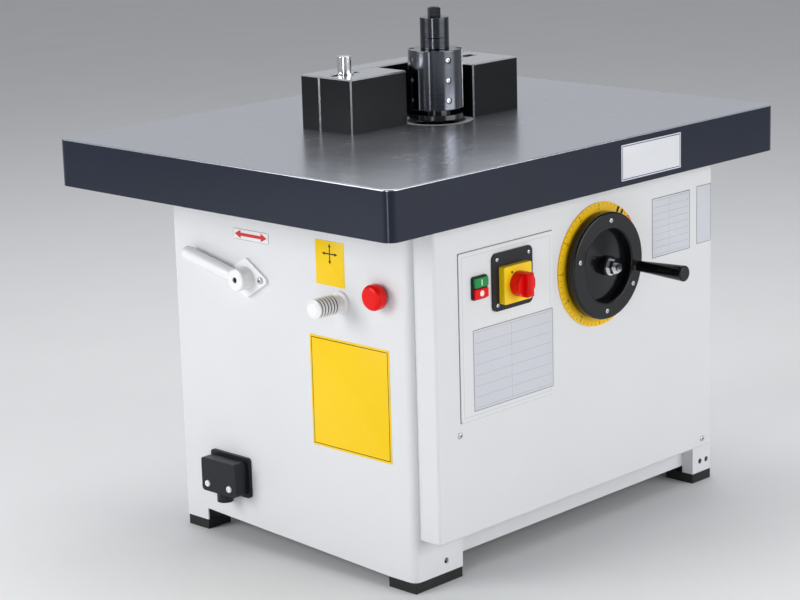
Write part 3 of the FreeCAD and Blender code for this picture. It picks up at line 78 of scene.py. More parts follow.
class Body(str, Enum):
    """The moving bodies of the machine."""

    FRAME = "frame"
    WHEEL = "wheel"
    SPINDLE = "spindle"
    CLAMP = "clamp"
    START = "start_button"
    HALT = "halt_button"


class Graph:
    """A material's or group's node tree, with short ways to add nodes."""

    def __init__(self, tree: bpy.types.NodeTree) -> None:
        """Takes over an empty tree.

        Args:
            tree: The node tree to fill.
        """
        self.tree = tree

    def add(self, kind: str, inputs: dict[object, object] | None = None, **settings: object) -> bpy.types.Node:
        """Adds a node.

        Args:
            kind: The node's Blender type name.
            inputs: Values or sockets for its inputs, by name or index.
            settings: Properties of the node.

        Returns:
            The new node.
        """
        made = self.tree.nodes.new(kind)
        for name, value in settings.items():
            setattr(made, name, value)
        for key, value in (inputs or {}).items():
            if isinstance(value, bpy.types.NodeSocket):
                self.tree.links.new(value, made.inputs[key])
            else:
                made.inputs[key].default_value = value
        return made

    def math(self, operation: str, first: object, second: object = 0.0, third: object = 0.0) -> bpy.types.NodeSocket:
        """Adds a sum on numbers.

        Args:
            operation: The Math node's operation.
            first: First number or socket.
            second: Second number or socket.
            third: Third number or socket.

        Returns:
            The result's socket.
        """
        return self.add("ShaderNodeMath", {0: first, 1: second, 2: third}, operation=operation).outputs[0]

    def mix(self, share: object, first: object, second: object) -> bpy.types.NodeSocket:
        """Mixes two colours.

        Args:
            share: How much of the second colour, 0 to 1.
            first: First colour or socket.
            second: Second colour or socket.

        Returns:
            The mixed colour's socket.
        """
        made = self.add("ShaderNodeMix", data_type="RGBA")
        for index, value in ((0, share), (6, first), (7, second)):
            if isinstance(value, bpy.types.NodeSocket):
                self.tree.links.new(value, made.inputs[index])
            else:
                made.inputs[index].default_value = value if index == 0 else (*value, 1.0)
        return made.outputs[2]

    def span(self, value: object, low: object, high: object, start: object = 0.0,
             end: object = 1.0) -> bpy.types.NodeSocket:
        """Carries a number from one range to another, held at its ends.

        Args:
            value: The number's socket.
            low: Where the first range starts.
            high: Where the first range ends.
            start: Result at low.
            end: Result at high.

        Returns:
            The result's socket.
        """
        return self.add("ShaderNodeMapRange", {0: value, 1: low, 2: high, 3: start, 4: end}).outputs[0]

    def noise(self, vector: object, scale: object, detail: float = 2.0) -> bpy.types.NodeSocket:
        """Adds noise.

        Args:
            vector: Where it is read.
            scale: Its scale.
            detail: Its detail.

        Returns:
            The noise value's socket.
        """
        return self.add("ShaderNodeTexNoise", {"Vector": vector, "Scale": scale, "Detail": detail}).outputs[0]

    def place(self) -> bpy.types.NodeSocket:
        """The Object coordinates' socket."""
        return self.add("ShaderNodeTexCoord").outputs["Object"]

    def axes(self, vector: object) -> tuple[bpy.types.NodeSocket, ...]:
        """The three parts of a vector."""
        return tuple(self.add("ShaderNodeSeparateXYZ", {0: vector}).outputs)

    def group(self, tree: bpy.types.NodeTree, inputs: dict[object, object]) -> bpy.types.Node:
        """Places a shared node group.

        Args:
            tree: The group.
            inputs: Values or sockets for its inputs, by name.

        Returns:
            The group's node.
        """
        made = self.tree.nodes.new("ShaderNodeGroup")
        made.node_tree = tree
        for key, value in inputs.items():
            if isinstance(value, bpy.types.NodeSocket):
                self.tree.links.new(value, made.inputs[key])
            else:
                made.inputs[key].default_value = value
        return made


@dataclass
class SharedEffects:
    """The surface effects that several finishes use, each a node group made once."""

    groups: dict[str, bpy.types.NodeTree] = field(default_factory=dict)

    def shell(self, name: str, inputs: dict[str, str], outputs: dict[str, str]) -> tuple[Graph, bpy.types.Node,
                                                                                          bpy.types.Node]:
        """Starts a group with named sockets.

        Args:
            name: The group's name.
            inputs: Socket types by input name.
            outputs: Socket types by output name.

        Returns:
            The group's graph, its input node and its output node.
        """
        tree = bpy.data.node_groups.new(name, "ShaderNodeTree")
        for label, kind in inputs.items():
            tree.interface.new_socket(label, in_out="INPUT", socket_type=kind)
        for label, kind in outputs.items():
            tree.interface.new_socket(label, in_out="OUTPUT", socket_type=kind)
        self.groups[name] = tree
        graph = Graph(tree)
        return graph, graph.add("NodeGroupInput"), graph.add("NodeGroupOutput")

    def build(self) -> None:
        """Makes every group."""
        number, vector = "NodeSocketFloat", "NodeSocketVector"
        graph, given, result = self.shell("peel", {"Place": vector, "Scale": number},
                                          {"Height": number, "Tint": number})
        fine = graph.noise(given.outputs["Place"], given.outputs["Scale"], 3.0)
        broad = graph.noise(given.outputs["Place"], 3.5, 4.0)
        graph.tree.links.new(fine, result.inputs["Height"])
        graph.tree.links.new(graph.span(broad, 0.3, 0.7), result.inputs["Tint"])

        graph, given, result = self.shell("streaks", {"Place": vector, "Stretch": vector, "Scale": number},
                                          {"Streak": number, "Cloud": number})
        pulled = graph.add("ShaderNodeVectorMath", {0: given.outputs["Place"], 1: given.outputs["Stretch"]},
                           operation="MULTIPLY").outputs[0]
        graph.tree.links.new(graph.noise(pulled, given.outputs["Scale"], 4.0), result.inputs["Streak"])
        cloud = graph.noise(given.outputs["Place"], 9.0, 3.0)
        graph.tree.links.new(graph.span(cloud, 0.3, 0.7), result.inputs["Cloud"])

        graph, given, result = self.shell("rings", {"Place": vector, "Scale": number}, {"Streak": number})
        x, y, z = graph.axes(given.outputs["Place"])
        radius = graph.math("SQRT", graph.math("MULTIPLY_ADD", x, x, graph.math("MULTIPLY", y, y)))
        wound = graph.add("ShaderNodeCombineXYZ", {0: radius, 1: z}).outputs[0]
        graph.tree.links.new(graph.noise(wound, given.outputs["Scale"], 3.0), result.inputs["Streak"])

        graph, given, result = self.shell("cloud", {"Place": vector, "Scale": number, "Cover": number},
                                          {"Mask": number})
        cloud = graph.noise(given.outputs["Place"], given.outputs["Scale"], 6.0)
        edge = graph.math("SUBTRACT", 0.72, graph.math("MULTIPLY", given.outputs["Cover"], 0.4))
        spread = graph.span(cloud, edge, graph.math("ADD", edge, 0.16))
        graph.tree.links.new(spread, result.inputs["Mask"])

        graph, given, result = self.shell("band", {"Value": number, "Low": number, "High": number}, {"Mask": number})
        above = graph.math("GREATER_THAN", given.outputs["Value"], given.outputs["Low"])
        below = graph.math("LESS_THAN", given.outputs["Value"], given.outputs["High"])
        graph.tree.links.new(graph.math("MULTIPLY", above, below), result.inputs["Mask"])

        graph, given, result = self.shell("stripes", {"Value": number, "Pitch": number, "Share": number},
                                          {"Mask": number})
        step = graph.math("FRACT", graph.math("DIVIDE", given.outputs["Value"], given.outputs["Pitch"]))
        graph.tree.links.new(graph.math("LESS_THAN", step, given.outputs["Share"]), result.inputs["Mask"])

    def __getitem__(self, name: str) -> bpy.types.NodeTree:
        """The group of that name."""
        return self.groups[name]


EFFECTS = SharedEffects()


def new_material(name: str) -> tuple[bpy.types.Material, Graph, bpy.types.Node]:
    """Starts a material.

    Args:
        name: The finish's name.

    Returns:
        The material, its graph and its Principled shader.
    """
    material = bpy.data.materials.new(name)
    material.use_nodes = True
    graph = Graph(material.node_tree)
    return material, graph, material.node_tree.nodes["Principled BSDF"]


def bump(graph: Graph, shader: bpy.types.Node, height: bpy.types.NodeSocket, distance: float) -> None:
    """Puts a height on a shader's normal.

    Args:
        graph: The material's graph.
        shader: The Principled shader.
        height: The height's socket.
        distance: How deep a height of one is, in metres.
    """
    made = graph.add("ShaderNodeBump", {"Height": height, "Distance": distance})
    graph.tree.links.new(made.outputs[0], shader.inputs["Normal"])


@dataclass(frozen=True)
class Paint:
    """Sprayed enamel or moulded plastic: a fine peel and a faint drift of tone and gloss."""

    name: str
    colour: Colour
    roughness: float = 0.35
    peel: float = 900.0
    depth: float = 0.00004
    drift: float = 0.04
    coat: float = 0.0
    specular: float = 0.5

    def make(self) -> bpy.types.Material:
        """The finish as a material."""
        material, graph, shader = new_material(self.name)
        place = graph.place()
        peel = graph.group(EFFECTS["peel"], {"Place": place, "Scale": self.peel})
        colour = graph.mix(peel.outputs["Tint"], shade(self.colour, 1.0 - self.drift),
                           shade(self.colour, 1.0 + self.drift))
        rough = graph.span(peel.outputs["Tint"], 0.0, 1.0, self.roughness * 1.12, self.roughness * 0.9)
        graph.tree.links.new(colour, shader.inputs["Base Color"])
        graph.tree.links.new(rough, shader.inputs["Roughness"])
        shader.inputs["Coat Weight"].default_value = self.coat
        shader.inputs["Coat Roughness"].default_value = 0.06
        shader.inputs["Specular IOR Level"].default_value = self.specular
        bump(graph, shader, peel.outputs["Height"], self.depth)
        return material


@dataclass(frozen=True)
class RibbedPlastic:
    """Moulded plastic on a grip along X, with painted shade in the grooves between its ribs."""

    name: str
    colour: Colour
    groove_shade: Colour
    low: Vector
    high: Vector
    depth: float = 0.0007
    face: float = 0.005

    def make(self) -> bpy.types.Material:
        """The finish as a material."""
        material, graph, shader = new_material(self.name)
        place = graph.place()
        x, y, z = graph.axes(place)
        middle = (self.low + self.high) / 2
        off_y, off_z = graph.math("SUBTRACT", y, middle.y), graph.math("SUBTRACT", z, middle.z)
        radius = graph.math("SQRT", graph.math("MULTIPLY_ADD", off_y, off_y, graph.math("MULTIPLY", off_z, off_z)))
        outer = (self.high.z - self.low.z) / 2
        # painted shade: below the ribs' tops the grooves take a dark grey, standing in for the shadow between the ribs;
        # the knob's front face is left out
        sunk = graph.span(radius, outer - self.depth, outer - self.depth * 2.5)
        mask = graph.math("MULTIPLY", sunk, graph.math("GREATER_THAN", x, self.low.x + self.face))
        peel = graph.group(EFFECTS["peel"], {"Place": place, "Scale": 900.0})
        graph.tree.links.new(graph.mix(mask, self.colour, self.groove_shade), shader.inputs["Base Color"])
        graph.tree.links.new(graph.span(peel.outputs["Tint"], 0.0, 1.0, 0.38, 0.3), shader.inputs["Roughness"])
        bump(graph, shader, peel.outputs["Height"], 0.00005)
        return material


@dataclass(frozen=True)
class Metal:
    """Bare metal with the marks of how it was cut."""

    name: str
    colour: Colour
    roughness: float = 0.22
    grain: Grain = Grain.TURNED
    centre: Point = (0.0, 0.0, 0.0)
    turn: Point = (0.0, 0.0, 0.0)
    stretch: Point = (1.0, 60.0, 60.0)
    scale: float = 900.0
    depth: float = 0.00002

    def streak(self, graph: Graph) -> bpy.types.NodeSocket:
        """The cutting marks.

        Args:
            graph: The material's graph.

        Returns:
            A socket of 0 to 1 that changes from mark to mark.
        """
        moved = graph.add("ShaderNodeMapping", {0: graph.place(), 1: self.centre, 2: self.turn},
                          vector_type="TEXTURE").outputs[0]
        if self.grain is Grain.TURNED:
            return graph.group(EFFECTS["rings"], {"Place": moved, "Scale": self.scale}).outputs["Streak"]
        if self.grain is Grain.BRUSHED:
            return graph.group(EFFECTS["streaks"], {"Place": moved, "Stretch": self.stretch,
                                                    "Scale": self.scale}).outputs["Streak"]
        return graph.group(EFFECTS["peel"], {"Place": moved, "Scale": self.scale}).outputs["Height"]

    def make(self) -> bpy.types.Material:
        """The finish as a material."""
        material, graph, shader = new_material(self.name)
        streak = self.streak(graph)
        cloud = graph.group(EFFECTS["cloud"], {"Place": graph.place(), "Scale": 22.0, "Cover": 0.5}).outputs["Mask"]
        colour = graph.mix(graph.span(streak, 0.3, 0.7), shade(self.colour, 0.86), shade(self.colour, 1.08))
        rough = graph.math("ADD", graph.span(streak, 0.3, 0.7, self.roughness * 0.8, self.roughness * 1.25),
                           graph.math("MULTIPLY", cloud, 0.06))
        graph.tree.links.new(colour, shader.inputs["Base Color"])
        graph.tree.links.new(rough, shader.inputs["Roughness"])
        shader.inputs["Metallic"].default_value = 0.55 if self.grain is Grain.CAST else 1.0
        bump(graph, shader, streak, self.depth)
        return material


@dataclass(frozen=True)
class FacedCasting:
    """A painted casting with bare ground faces: above a level, and on its broken edges."""

    name: str
    paint: Colour
    steel: Colour
    level: float
    paint_roughness: float = 0.32
    steel_roughness: float = 0.2
    stretch: Point = (1.0, 40.0, 1.0)
    bright_edges: bool = False

    def make(self) -> bpy.types.Material:
        """The finish as a material."""
        material, graph, shader = new_material(self.name)
        place = graph.place()
        ground = graph.math("GREATER_THAN", graph.axes(place)[2], self.level)
        if self.bright_edges:
            normal = graph.add("ShaderNodeNewGeometry").outputs["True Normal"]
            x, y, _ = graph.axes(normal)
            across = graph.math("ABSOLUTE", graph.math("MULTIPLY", x, y))
            ground = graph.math("MAXIMUM", ground, graph.math("GREATER_THAN", across, 0.2))
        peel = graph.group(EFFECTS["peel"], {"Place": place, "Scale": 700.0})
        lines = graph.group(EFFECTS["streaks"], {"Place": place, "Stretch": self.stretch, "Scale": 55.0})
        streak = graph.span(lines.outputs["Streak"], 0.3, 0.7)
        painted = graph.mix(peel.outputs["Tint"], shade(self.paint, 0.94), shade(self.paint, 1.06))
        bare = graph.mix(streak, shade(self.steel, 0.93), shade(self.steel, 1.05))
        graph.tree.links.new(graph.mix(ground, painted, bare), shader.inputs["Base Color"])
        wiped = graph.math("MULTIPLY_ADD", lines.outputs["Cloud"], 0.025,
                           graph.span(streak, 0.0, 1.0, self.steel_roughness * 0.9, self.steel_roughness * 1.15))
        rough = graph.add("ShaderNodeMix", {0: ground, 2: self.paint_roughness, 3: wiped}).outputs[0]
        graph.tree.links.new(rough, shader.inputs["Roughness"])
        graph.tree.links.new(graph.math("MULTIPLY", ground, 0.92), shader.inputs["Metallic"])
        marks = graph.math("MULTIPLY", lines.outputs["Streak"], 0.35)
        fine = graph.add("ShaderNodeMix", {0: ground, 2: peel.outputs["Height"], 3: marks}).outputs[0]
        bump(graph, shader, fine, 0.00003)
        graph.tree.links.new(graph.math("MULTIPLY_ADD", ground, -0.1, 0.1), shader.inputs["Coat Weight"])
        shader.inputs["Coat Roughness"].default_value = 0.12
        shader.inputs["Specular IOR Level"].default_value = 0.22
        return material


@dataclass(frozen=True)
class PlatePrint:
    """A plate without lettering: paper, a thin frame line, and the ruled lines of an empty table."""

    name: str
    face: Face
    low: tuple[float, float]
    high: tuple[float, float]
    paper: Colour
    ink: Colour
    border: float = 0.0
    border_inset: float = 0.0
    rows: int = 0
    split: float = 0.5
    margin: float = 6 * MM
    rule: float = 0.7 * MM
    roughness: float = 0.3

    def inside(self, graph: Graph, u: object, v: object, inset: float) -> bpy.types.NodeSocket:
        """A mask of the plate drawn in by a margin.

        Args:
            graph: The material's graph.
            u: Place across the plate.
            v: Place up the plate.
            inset: The margin in metres.

        Returns:
            The mask's socket.
        """
        sides = graph.group(EFFECTS["band"], {"Value": u, "Low": self.low[0] + inset, "High": self.high[0] - inset})
        ends = graph.group(EFFECTS["band"], {"Value": v, "Low": self.low[1] + inset, "High": self.high[1] - inset})
        return graph.math("MULTIPLY", sides.outputs[0], ends.outputs[0])

    def ruled(self, graph: Graph, u: object, v: object) -> bpy.types.NodeSocket:
        """A mask of the table's level lines and its one upright.

        Args:
            graph: The material's graph.
            u: Place across the plate.
            v: Place up the plate.

        Returns:
            The mask's socket.
        """
        foot = self.low[1] + self.margin
        pitch = (self.high[1] - self.margin - foot) / self.rows
        lines = graph.group(EFFECTS["stripes"], {"Value": graph.math("SUBTRACT", v, foot), "Pitch": pitch,
                                                 "Share": self.rule / pitch})
        parting = self.low[0] + (self.high[0] - self.low[0]) * self.split
        upright = graph.group(EFFECTS["band"], {"Value": u, "Low": parting, "High": parting + self.rule})
        table = graph.math("MAXIMUM", lines.outputs[0], upright.outputs[0])
        return graph.math("MULTIPLY", table, self.inside(graph, u, v, self.margin - self.rule))

    def make(self) -> bpy.types.Material:
        """The finish as a material."""
        material, graph, shader = new_material(self.name)
        place = graph.place()
        x, y, v = graph.axes(place)
        u = y if self.face is Face.LEFT else x
        peel = graph.group(EFFECTS["peel"], {"Place": place, "Scale": 420.0})
        bump(graph, shader, peel.outputs["Height"], 0.00002)
        colour = graph.mix(peel.outputs["Tint"], shade(self.paper, 0.97), shade(self.paper, 1.02))
        if self.rows:
            colour = graph.mix(self.ruled(graph, u, v), colour, shade(self.paper, 0.62))
        if self.border:
            edge = graph.math("SUBTRACT", self.inside(graph, u, v, self.border_inset),
                              self.inside(graph, u, v, self.border_inset + self.border))
            colour = graph.mix(edge, colour, self.ink)
        graph.tree.links.new(colour, shader.inputs["Base Color"])
        shader.inputs["Roughness"].default_value = self.roughness
        shader.inputs["Specular IOR Level"].default_value = 0.2
        return material


def shade(colour: Colour, share: float) -> Colour:
    """A colour made lighter or darker.

    Args:
        colour: The colour.
        share: How much of its light is kept.

    Returns:
        The new colour.
    """
    return tuple(min(1.0, part * share) for part in colour)


class Shop:
    """Makes pieces as by hand: a primitive, edit-mode work on chosen faces or edges, and a place on the machine."""

    @staticmethod
    def clear() -> None:
        """Leaves nothing selected."""
        bpy.ops.object.select_all(action="DESELECT")

    @staticmethod
    def choose(piece: bpy.types.Object, mode: str, wanted: Callable[[object], bool]) -> None:
        """Goes into edit mode with only the wanted faces or edges selected.

        Args:
            piece: The piece.
            mode: FACE or EDGE.
            wanted: The test for a face or an edge.
        """
        bpy.ops.object.mode_set(mode="EDIT")
        bpy.ops.mesh.select_mode(type=mode)
        bpy.ops.mesh.select_all(action="DESELECT")
        bpy.ops.object.mode_set(mode="OBJECT")
        mesh = piece.data
        for item in mesh.polygons if mode == "FACE" else mesh.edges:
            item.select = wanted(item)
        bpy.ops.object.mode_set(mode="EDIT")

    @staticmethod
    def done() -> None:
        """Leaves edit mode."""
        bpy.ops.object.mode_set(mode="OBJECT")

    @classmethod
    def bevel(cls, piece: bpy.types.Object, wanted: Callable[[Vector, Vector], bool], width: float,
              segments: int) -> None:
        """Bevels the edges whose two ends pass a test.

        Args:
            piece: The piece.
            wanted: The test on an edge's ends.
            width: The bevel's width.
            segments: Its steps.
        """
        points = piece.data.vertices
        cls.choose(piece, "EDGE", lambda edge: wanted(points[edge.vertices[0]].co, points[edge.vertices[1]].co))
        bpy.ops.mesh.bevel(offset=width, offset_type="OFFSET", segments=segments, affect="EDGES")
        cls.done()

    @classmethod
    def slab(cls, width: float, height: float, thick: float, corner: float, edge: float) -> bpy.types.Object:
        """A flat plate with rounded corners and a broken front edge, its back on the floor of its own frame.

        Args:
            width: Across.
            height: Up.
            thick: Outward.
            corner: Radius of its corners.
            edge: Bevel of its front edge.

        Returns:
            The plate.
        """
        cls.clear()
        bpy.ops.mesh.primitive_cube_add(size=1.0, location=(0, 0, thick / 2), scale=(width, height, thick))
        bpy.ops.object.transform_apply(location=True, rotation=True, scale=True)
        piece = bpy.context.object
        if corner:
            cls.bevel(piece, lambda a, b: abs(a.z - b.z) > thick / 2, corner, 4)
        if edge:
            cls.bevel(piece, lambda a, b: min(a.z, b.z) > thick * 0.999, edge, 2)
        return piece

    @classmethod
    def disc(cls, radius: float, thick: float, edge: float, sides: int = 28, steps: int = 3) -> bpy.types.Object:
        """A round head with a rounded front edge.

        Args:
            radius: Its radius.
            thick: Its height.
            edge: Rounding of its front edge.
            sides: Sides of its circle.
            steps: Steps of the rounding.

        Returns:
            The head.
        """
        cls.clear()
        bpy.ops.mesh.primitive_cylinder_add(vertices=sides, radius=radius, depth=thick, location=(0, 0, thick / 2))
        bpy.ops.object.transform_apply(location=True, rotation=True, scale=True)
        piece = bpy.context.object
        cls.bevel(piece, lambda a, b: min(a.z, b.z) > thick * 0.999, edge, steps)
        return piece

    @classmethod
    def sink(cls, piece: bpy.types.Object, margin: float, depth: float) -> bpy.types.Object:
        """Sinks the flat front of a piece inside a margin.

        Args:
            piece: The piece.
            margin: Width left round the recess.
            depth: Depth of the recess.

        Returns:
            The same piece.
        """
        top = max(vertex.co.z for vertex in piece.data.vertices)
        cls.choose(piece, "FACE", lambda face: face.normal.z > 0.99 and face.center.z > top * 0.999)
        bpy.ops.mesh.inset(thickness=margin)
        bpy.ops.mesh.extrude_region_move(TRANSFORM_OT_translate={"value": (0, 0, -depth)})
        cls.done()
        return piece

    @classmethod
    def screw(cls, radius: float, thick: float, socket: float) -> bpy.types.Object:
        """A button-head screw with a round socket.

        Args:
            radius: The head's radius.
            thick: The head's height.
            socket: The socket's radius.

        Returns:
            The screw head.
        """
        return cls.sink(cls.disc(radius, thick, min(thick * 0.7, radius - socket * 1.3), 24, 4),
                        max(0.0001, radius - min(thick * 0.7, radius - socket * 1.3) - socket), thick * 0.6)

    @classmethod
    def arrow(cls, length: float, width: float, head: float, thick: float, both: bool) -> bpy.types.Object:
        """A flat arrow along +X with a head at one end or both.

        Args:
            length: Tip to tip.
            width: Width of its shaft.
            head: Width and length of its head.
            thick: Its height.
            both: Whether both ends have heads.

        Returns:
            The arrow.
        """
        piece = cls.slab(length - head * (2 if both else 1), width, thick, 0.0, 0.0)
        reach = (length - head * (2 if both else 1)) / 2
        for side in (1, -1) if both else (1,):
            cls.choose(piece, "FACE", lambda face: face.normal.x * side > 0.99 and face.center.x * side > reach * 0.99)
            for step, spread in ((0.0, head / width), (head * side, 0.001)):
                bpy.ops.mesh.extrude_region_move(TRANSFORM_OT_translate={"value": (step, 0, 0)})
                bpy.ops.transform.resize(value=(1, spread, 1), center_override=(reach * side, 0, 0))
            cls.done()
        return piece

    @classmethod
    def digits(cls, words: str, tall: float, thick: float) -> bpy.types.Object:
        """Plain numerals as a thin mesh.

        Args:
            words: The numerals.
            tall: Their height.
            thick: How far they stand out.

        Returns:
            The numerals, centred.
        """
        cls.clear()
        bpy.ops.object.text_add()
        text = bpy.context.object
        text.data.body = words
        text.data.size = tall
        text.data.align_x = "CENTER"
        text.data.align_y = "CENTER"
        text.data.extrude = thick / 2
        text.data.resolution_u = 3
        bpy.ops.object.convert(target="MESH")
        return bpy.context.object

    @classmethod
    def shift(cls, piece: bpy.types.Object, move: Matrix) -> bpy.types.Object:
        """Moves a piece and puts the move into its mesh.

        Args:
            piece: The piece.
            move: The move.

        Returns:
            The same piece.
        """
        cls.clear()
        piece.select_set(True)
        bpy.context.view_layer.objects.active = piece
        piece.matrix_world = move @ piece.matrix_world
        bpy.ops.object.transform_apply(location=True, rotation=True, scale=True)
        return piece

    @classmethod
    def copy(cls, piece: bpy.types.Object) -> bpy.types.Object:
        """A copy with its own mesh."""
        twin = piece.copy()
        twin.data = piece.data.copy()
        bpy.context.collection.objects.link(twin)
        return twin

    @classmethod
    def join(cls, parts: Sequence[bpy.types.Object]) -> bpy.types.Object:
        """Joins pieces into the first of them.

        Args:
            parts: The pieces.

        Returns:
            The joined piece.
        """
        cls.clear()
        for part in parts:
            part.select_set(True)
        bpy.context.view_layer.objects.active = parts[0]
        if len(parts) > 1:
            bpy.ops.object.join()
        return bpy.context.view_layer.objects.active

    @classmethod
    def spread(cls, model: bpy.types.Object, moves: Iterable[Matrix]) -> bpy.types.Object:
        """Puts a copy of a model at every place and joins them.

        Args:
            model: The piece to copy, which is used up.
            moves: The places.

        Returns:
            The joined piece.
        """
        parts = [cls.shift(cls.copy(model), move) for move in moves]
        bpy.data.objects.remove(model)
        return cls.join(parts)

    @classmethod
    def hang(cls, piece: bpy.types.Object, name: str, body: Body, finish: object, slot: str) -> bpy.types.Object:
        """Names a piece, gives it its finish and lets it ride on its body.

        Args:
            piece: The piece, already at its place.
            name: Its name.
            body: The body that carries it.
            finish: Its finish, or None where its parts already have theirs.
            slot: The record's slot; not used.

        Returns:
            The same piece.
        """
        cls.clear()
        piece.select_set(True)
        bpy.context.view_layer.objects.active = piece
        bpy.ops.object.shade_smooth_by_angle(angle=math.radians(40))
        piece.name = name
        piece.data.name = name
        if finish is not None:
            dress(piece, finish)
        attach(piece, body.value)
        LOG.info("%s: %d faces on %s", name, len(piece.data.polygons), body.value)
        return piece


MATERIALS: dict[str, bpy.types.Material] = {}


def dress(piece: bpy.types.Object, finish: object) -> None:
    """Gives a piece one finish, made once and shared.

    Args:
        piece: The piece.
        finish: The finish.
    """
    if finish.name not in MATERIALS:
        MATERIALS[finish.name] = finish.make()
    piece.data.materials.clear()
    piece.data.materials.append(MATERIALS[finish.name])


def at(face: Face, point: Sequence[float]) -> Matrix:
    """The place of a piece on a face of the machine.

    Args:
        face: The face.
        point: Where the middle of the piece's back goes.

    Returns:
        The move from the piece's own frame.
    """
    return Matrix.Translation(Vector(point)) @ face.turn


SPINDLE_LOW, SPINDLE_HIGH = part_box("spindle_shaft")
SPINDLE_AXIS = ((SPINDLE_LOW.x + SPINDLE_HIGH.x) / 2, (SPINDLE_LOW.y + SPINDLE_HIGH.y) / 2, 0.0)
WHEEL_LOW, WHEEL_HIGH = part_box("handwheel")
WHEEL_AXIS = ((WHEEL_LOW.x + WHEEL_HIGH.x) / 2, 0.0, (WHEEL_LOW.z + WHEEL_HIGH.z) / 2)
NUT_LOW, NUT_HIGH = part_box("fence_nut")
NUT_AXIS = ((NUT_LOW.x + NUT_HIGH.x) / 2, (NUT_LOW.y + NUT_HIGH.y) / 2, 0.0)
TABLE_LOW, TABLE_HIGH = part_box("table")
FENCE_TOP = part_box("fence_left")[1].z
QUARTER = math.pi / 2

ENAMEL = Paint("cabinet_enamel", (0.73, 0.74, 0.76), 0.34, 420.0, 0.00005, 0.015)
COVER_ENAMEL = Paint("cover_enamel", (0.72, 0.725, 0.735), 0.36, 420.0, 0.00005, 0.015)
PANEL_LOW, PANEL_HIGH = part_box("control_panel")
# the grey line inset round the control panel is painted shade of a groove round its face
PANEL_ENAMEL = PlatePrint("panel_enamel", Face.FRONT, (PANEL_LOW.x, PANEL_LOW.z), (PANEL_HIGH.x, PANEL_HIGH.z),
                          (0.74, 0.745, 0.755), (0.52, 0.525, 0.54), border=0.0009, border_inset=0.0075, roughness=0.34)
# dark grey for the sheet round the control panel: painted shadow of the panel's edge
PANEL_SHADOW_GREY = Paint("panel_shadow_grey", (0.16, 0.16, 0.17), 0.5, 420.0, 0.00002, 0.05)
TABLE_IRON = FacedCasting("table_iron", (0.011, 0.0155, 0.03), (0.57, 0.585, 0.64), TABLE_HIGH.z - 0.0028, 0.2, 0.225,
                          (1.0, 30.0, 1.0))
FENCE_IRON = FacedCasting("fence_iron", (0.003, 0.0034, 0.0048), (0.62, 0.63, 0.66), FENCE_TOP - 0.0027, 0.3, 0.24,
                          (1.0, 30.0, 1.0), True)
SPINDLE_STEEL = Metal("spindle_steel", (0.065, 0.069, 0.08), 0.16, Grain.TURNED, SPINDLE_AXIS, scale=1400.0,
                      depth=0.00006)
CUTTER_STEEL = Metal("cutter_steel", (0.15, 0.158, 0.18), 0.15, Grain.TURNED, SPINDLE_AXIS, scale=1200.0, depth=0.00006)
RING_STEEL = Metal("ring_steel", (0.88, 0.89, 0.91), 0.34, Grain.CAST, scale=900.0)
KNIFE_STEEL = Metal("knife_steel", (0.62, 0.63, 0.65), 0.18, Grain.BRUSHED, stretch=(40.0, 40.0, 1.0), scale=200.0)
BRIGHT_STEEL = Metal("bright_steel", (0.60, 0.61, 0.63), 0.2, Grain.BRUSHED, stretch=(8.0, 8.0, 60.0), scale=120.0)
CHROME = Metal("chrome", (0.78, 0.79, 0.81), 0.08, Grain.TURNED, WHEEL_AXIS, (QUARTER, 0.0, 0.0), scale=900.0)
NUT_CHROME = Metal("nut_chrome", (0.80, 0.81, 0.82), 0.12, Grain.TURNED, NUT_AXIS, scale=1600.0)
SCREW_STEEL = Metal("screw_steel", (0.66, 0.67, 0.69), 0.2, Grain.BRUSHED, stretch=(6.0, 6.0, 6.0), scale=300.0)
GREY_IRON = Metal("grey_iron", (0.20, 0.205, 0.21), 0.5, Grain.CAST, scale=260.0, depth=0.0003)
BRONZE = Metal("bronze", (0.66, 0.46, 0.20), 0.28, Grain.BRUSHED, stretch=(8.0, 8.0, 40.0), scale=160.0)
BLACK_GLOSS = Paint("black_gloss", (0.004, 0.0042, 0.005), 0.2, 260.0, 0.00003, 0.1, 0.3, 0.2)
BLACK_OXIDE = Paint("black_oxide", (0.008, 0.0085, 0.01), 0.2, 500.0, 0.00002, 0.12, 0.3)
BLACK_PLASTIC = Paint("black_plastic", (0.011, 0.012, 0.016), 0.36, 1500.0, 0.00006, 0.1, 0.0, 0.3)
PAD_RUBBER = Paint("pad_rubber", (0.012, 0.012, 0.012), 0.75, 600.0, 0.0002, 0.15)
YELLOW_PLASTIC = Paint("yellow_plastic", (0.93, 0.63, 0.008), 0.35, 900.0, 0.00004, 0.03, 0.0, 0.3)
DIAL_YELLOW = Paint("dial_yellow", (0.90, 0.54, 0.01), 0.38, 500.0, 0.00003, 0.05, 0.0, 0.3)
RED_PLASTIC = Paint("red_plastic", (0.78, 0.004, 0.003), 0.22, 900.0, 0.00003, 0.04, 0.0, 0.2)
GREEN_PLASTIC = Paint("green_plastic", (0.008, 0.26, 0.055), 0.26, 900.0, 0.00003, 0.04, 0.0, 0.3)
WHITE_METAL = Paint("white_metal", (0.86, 0.865, 0.87), 0.28, 300.0, 0.00006, 0.03, 0.2)
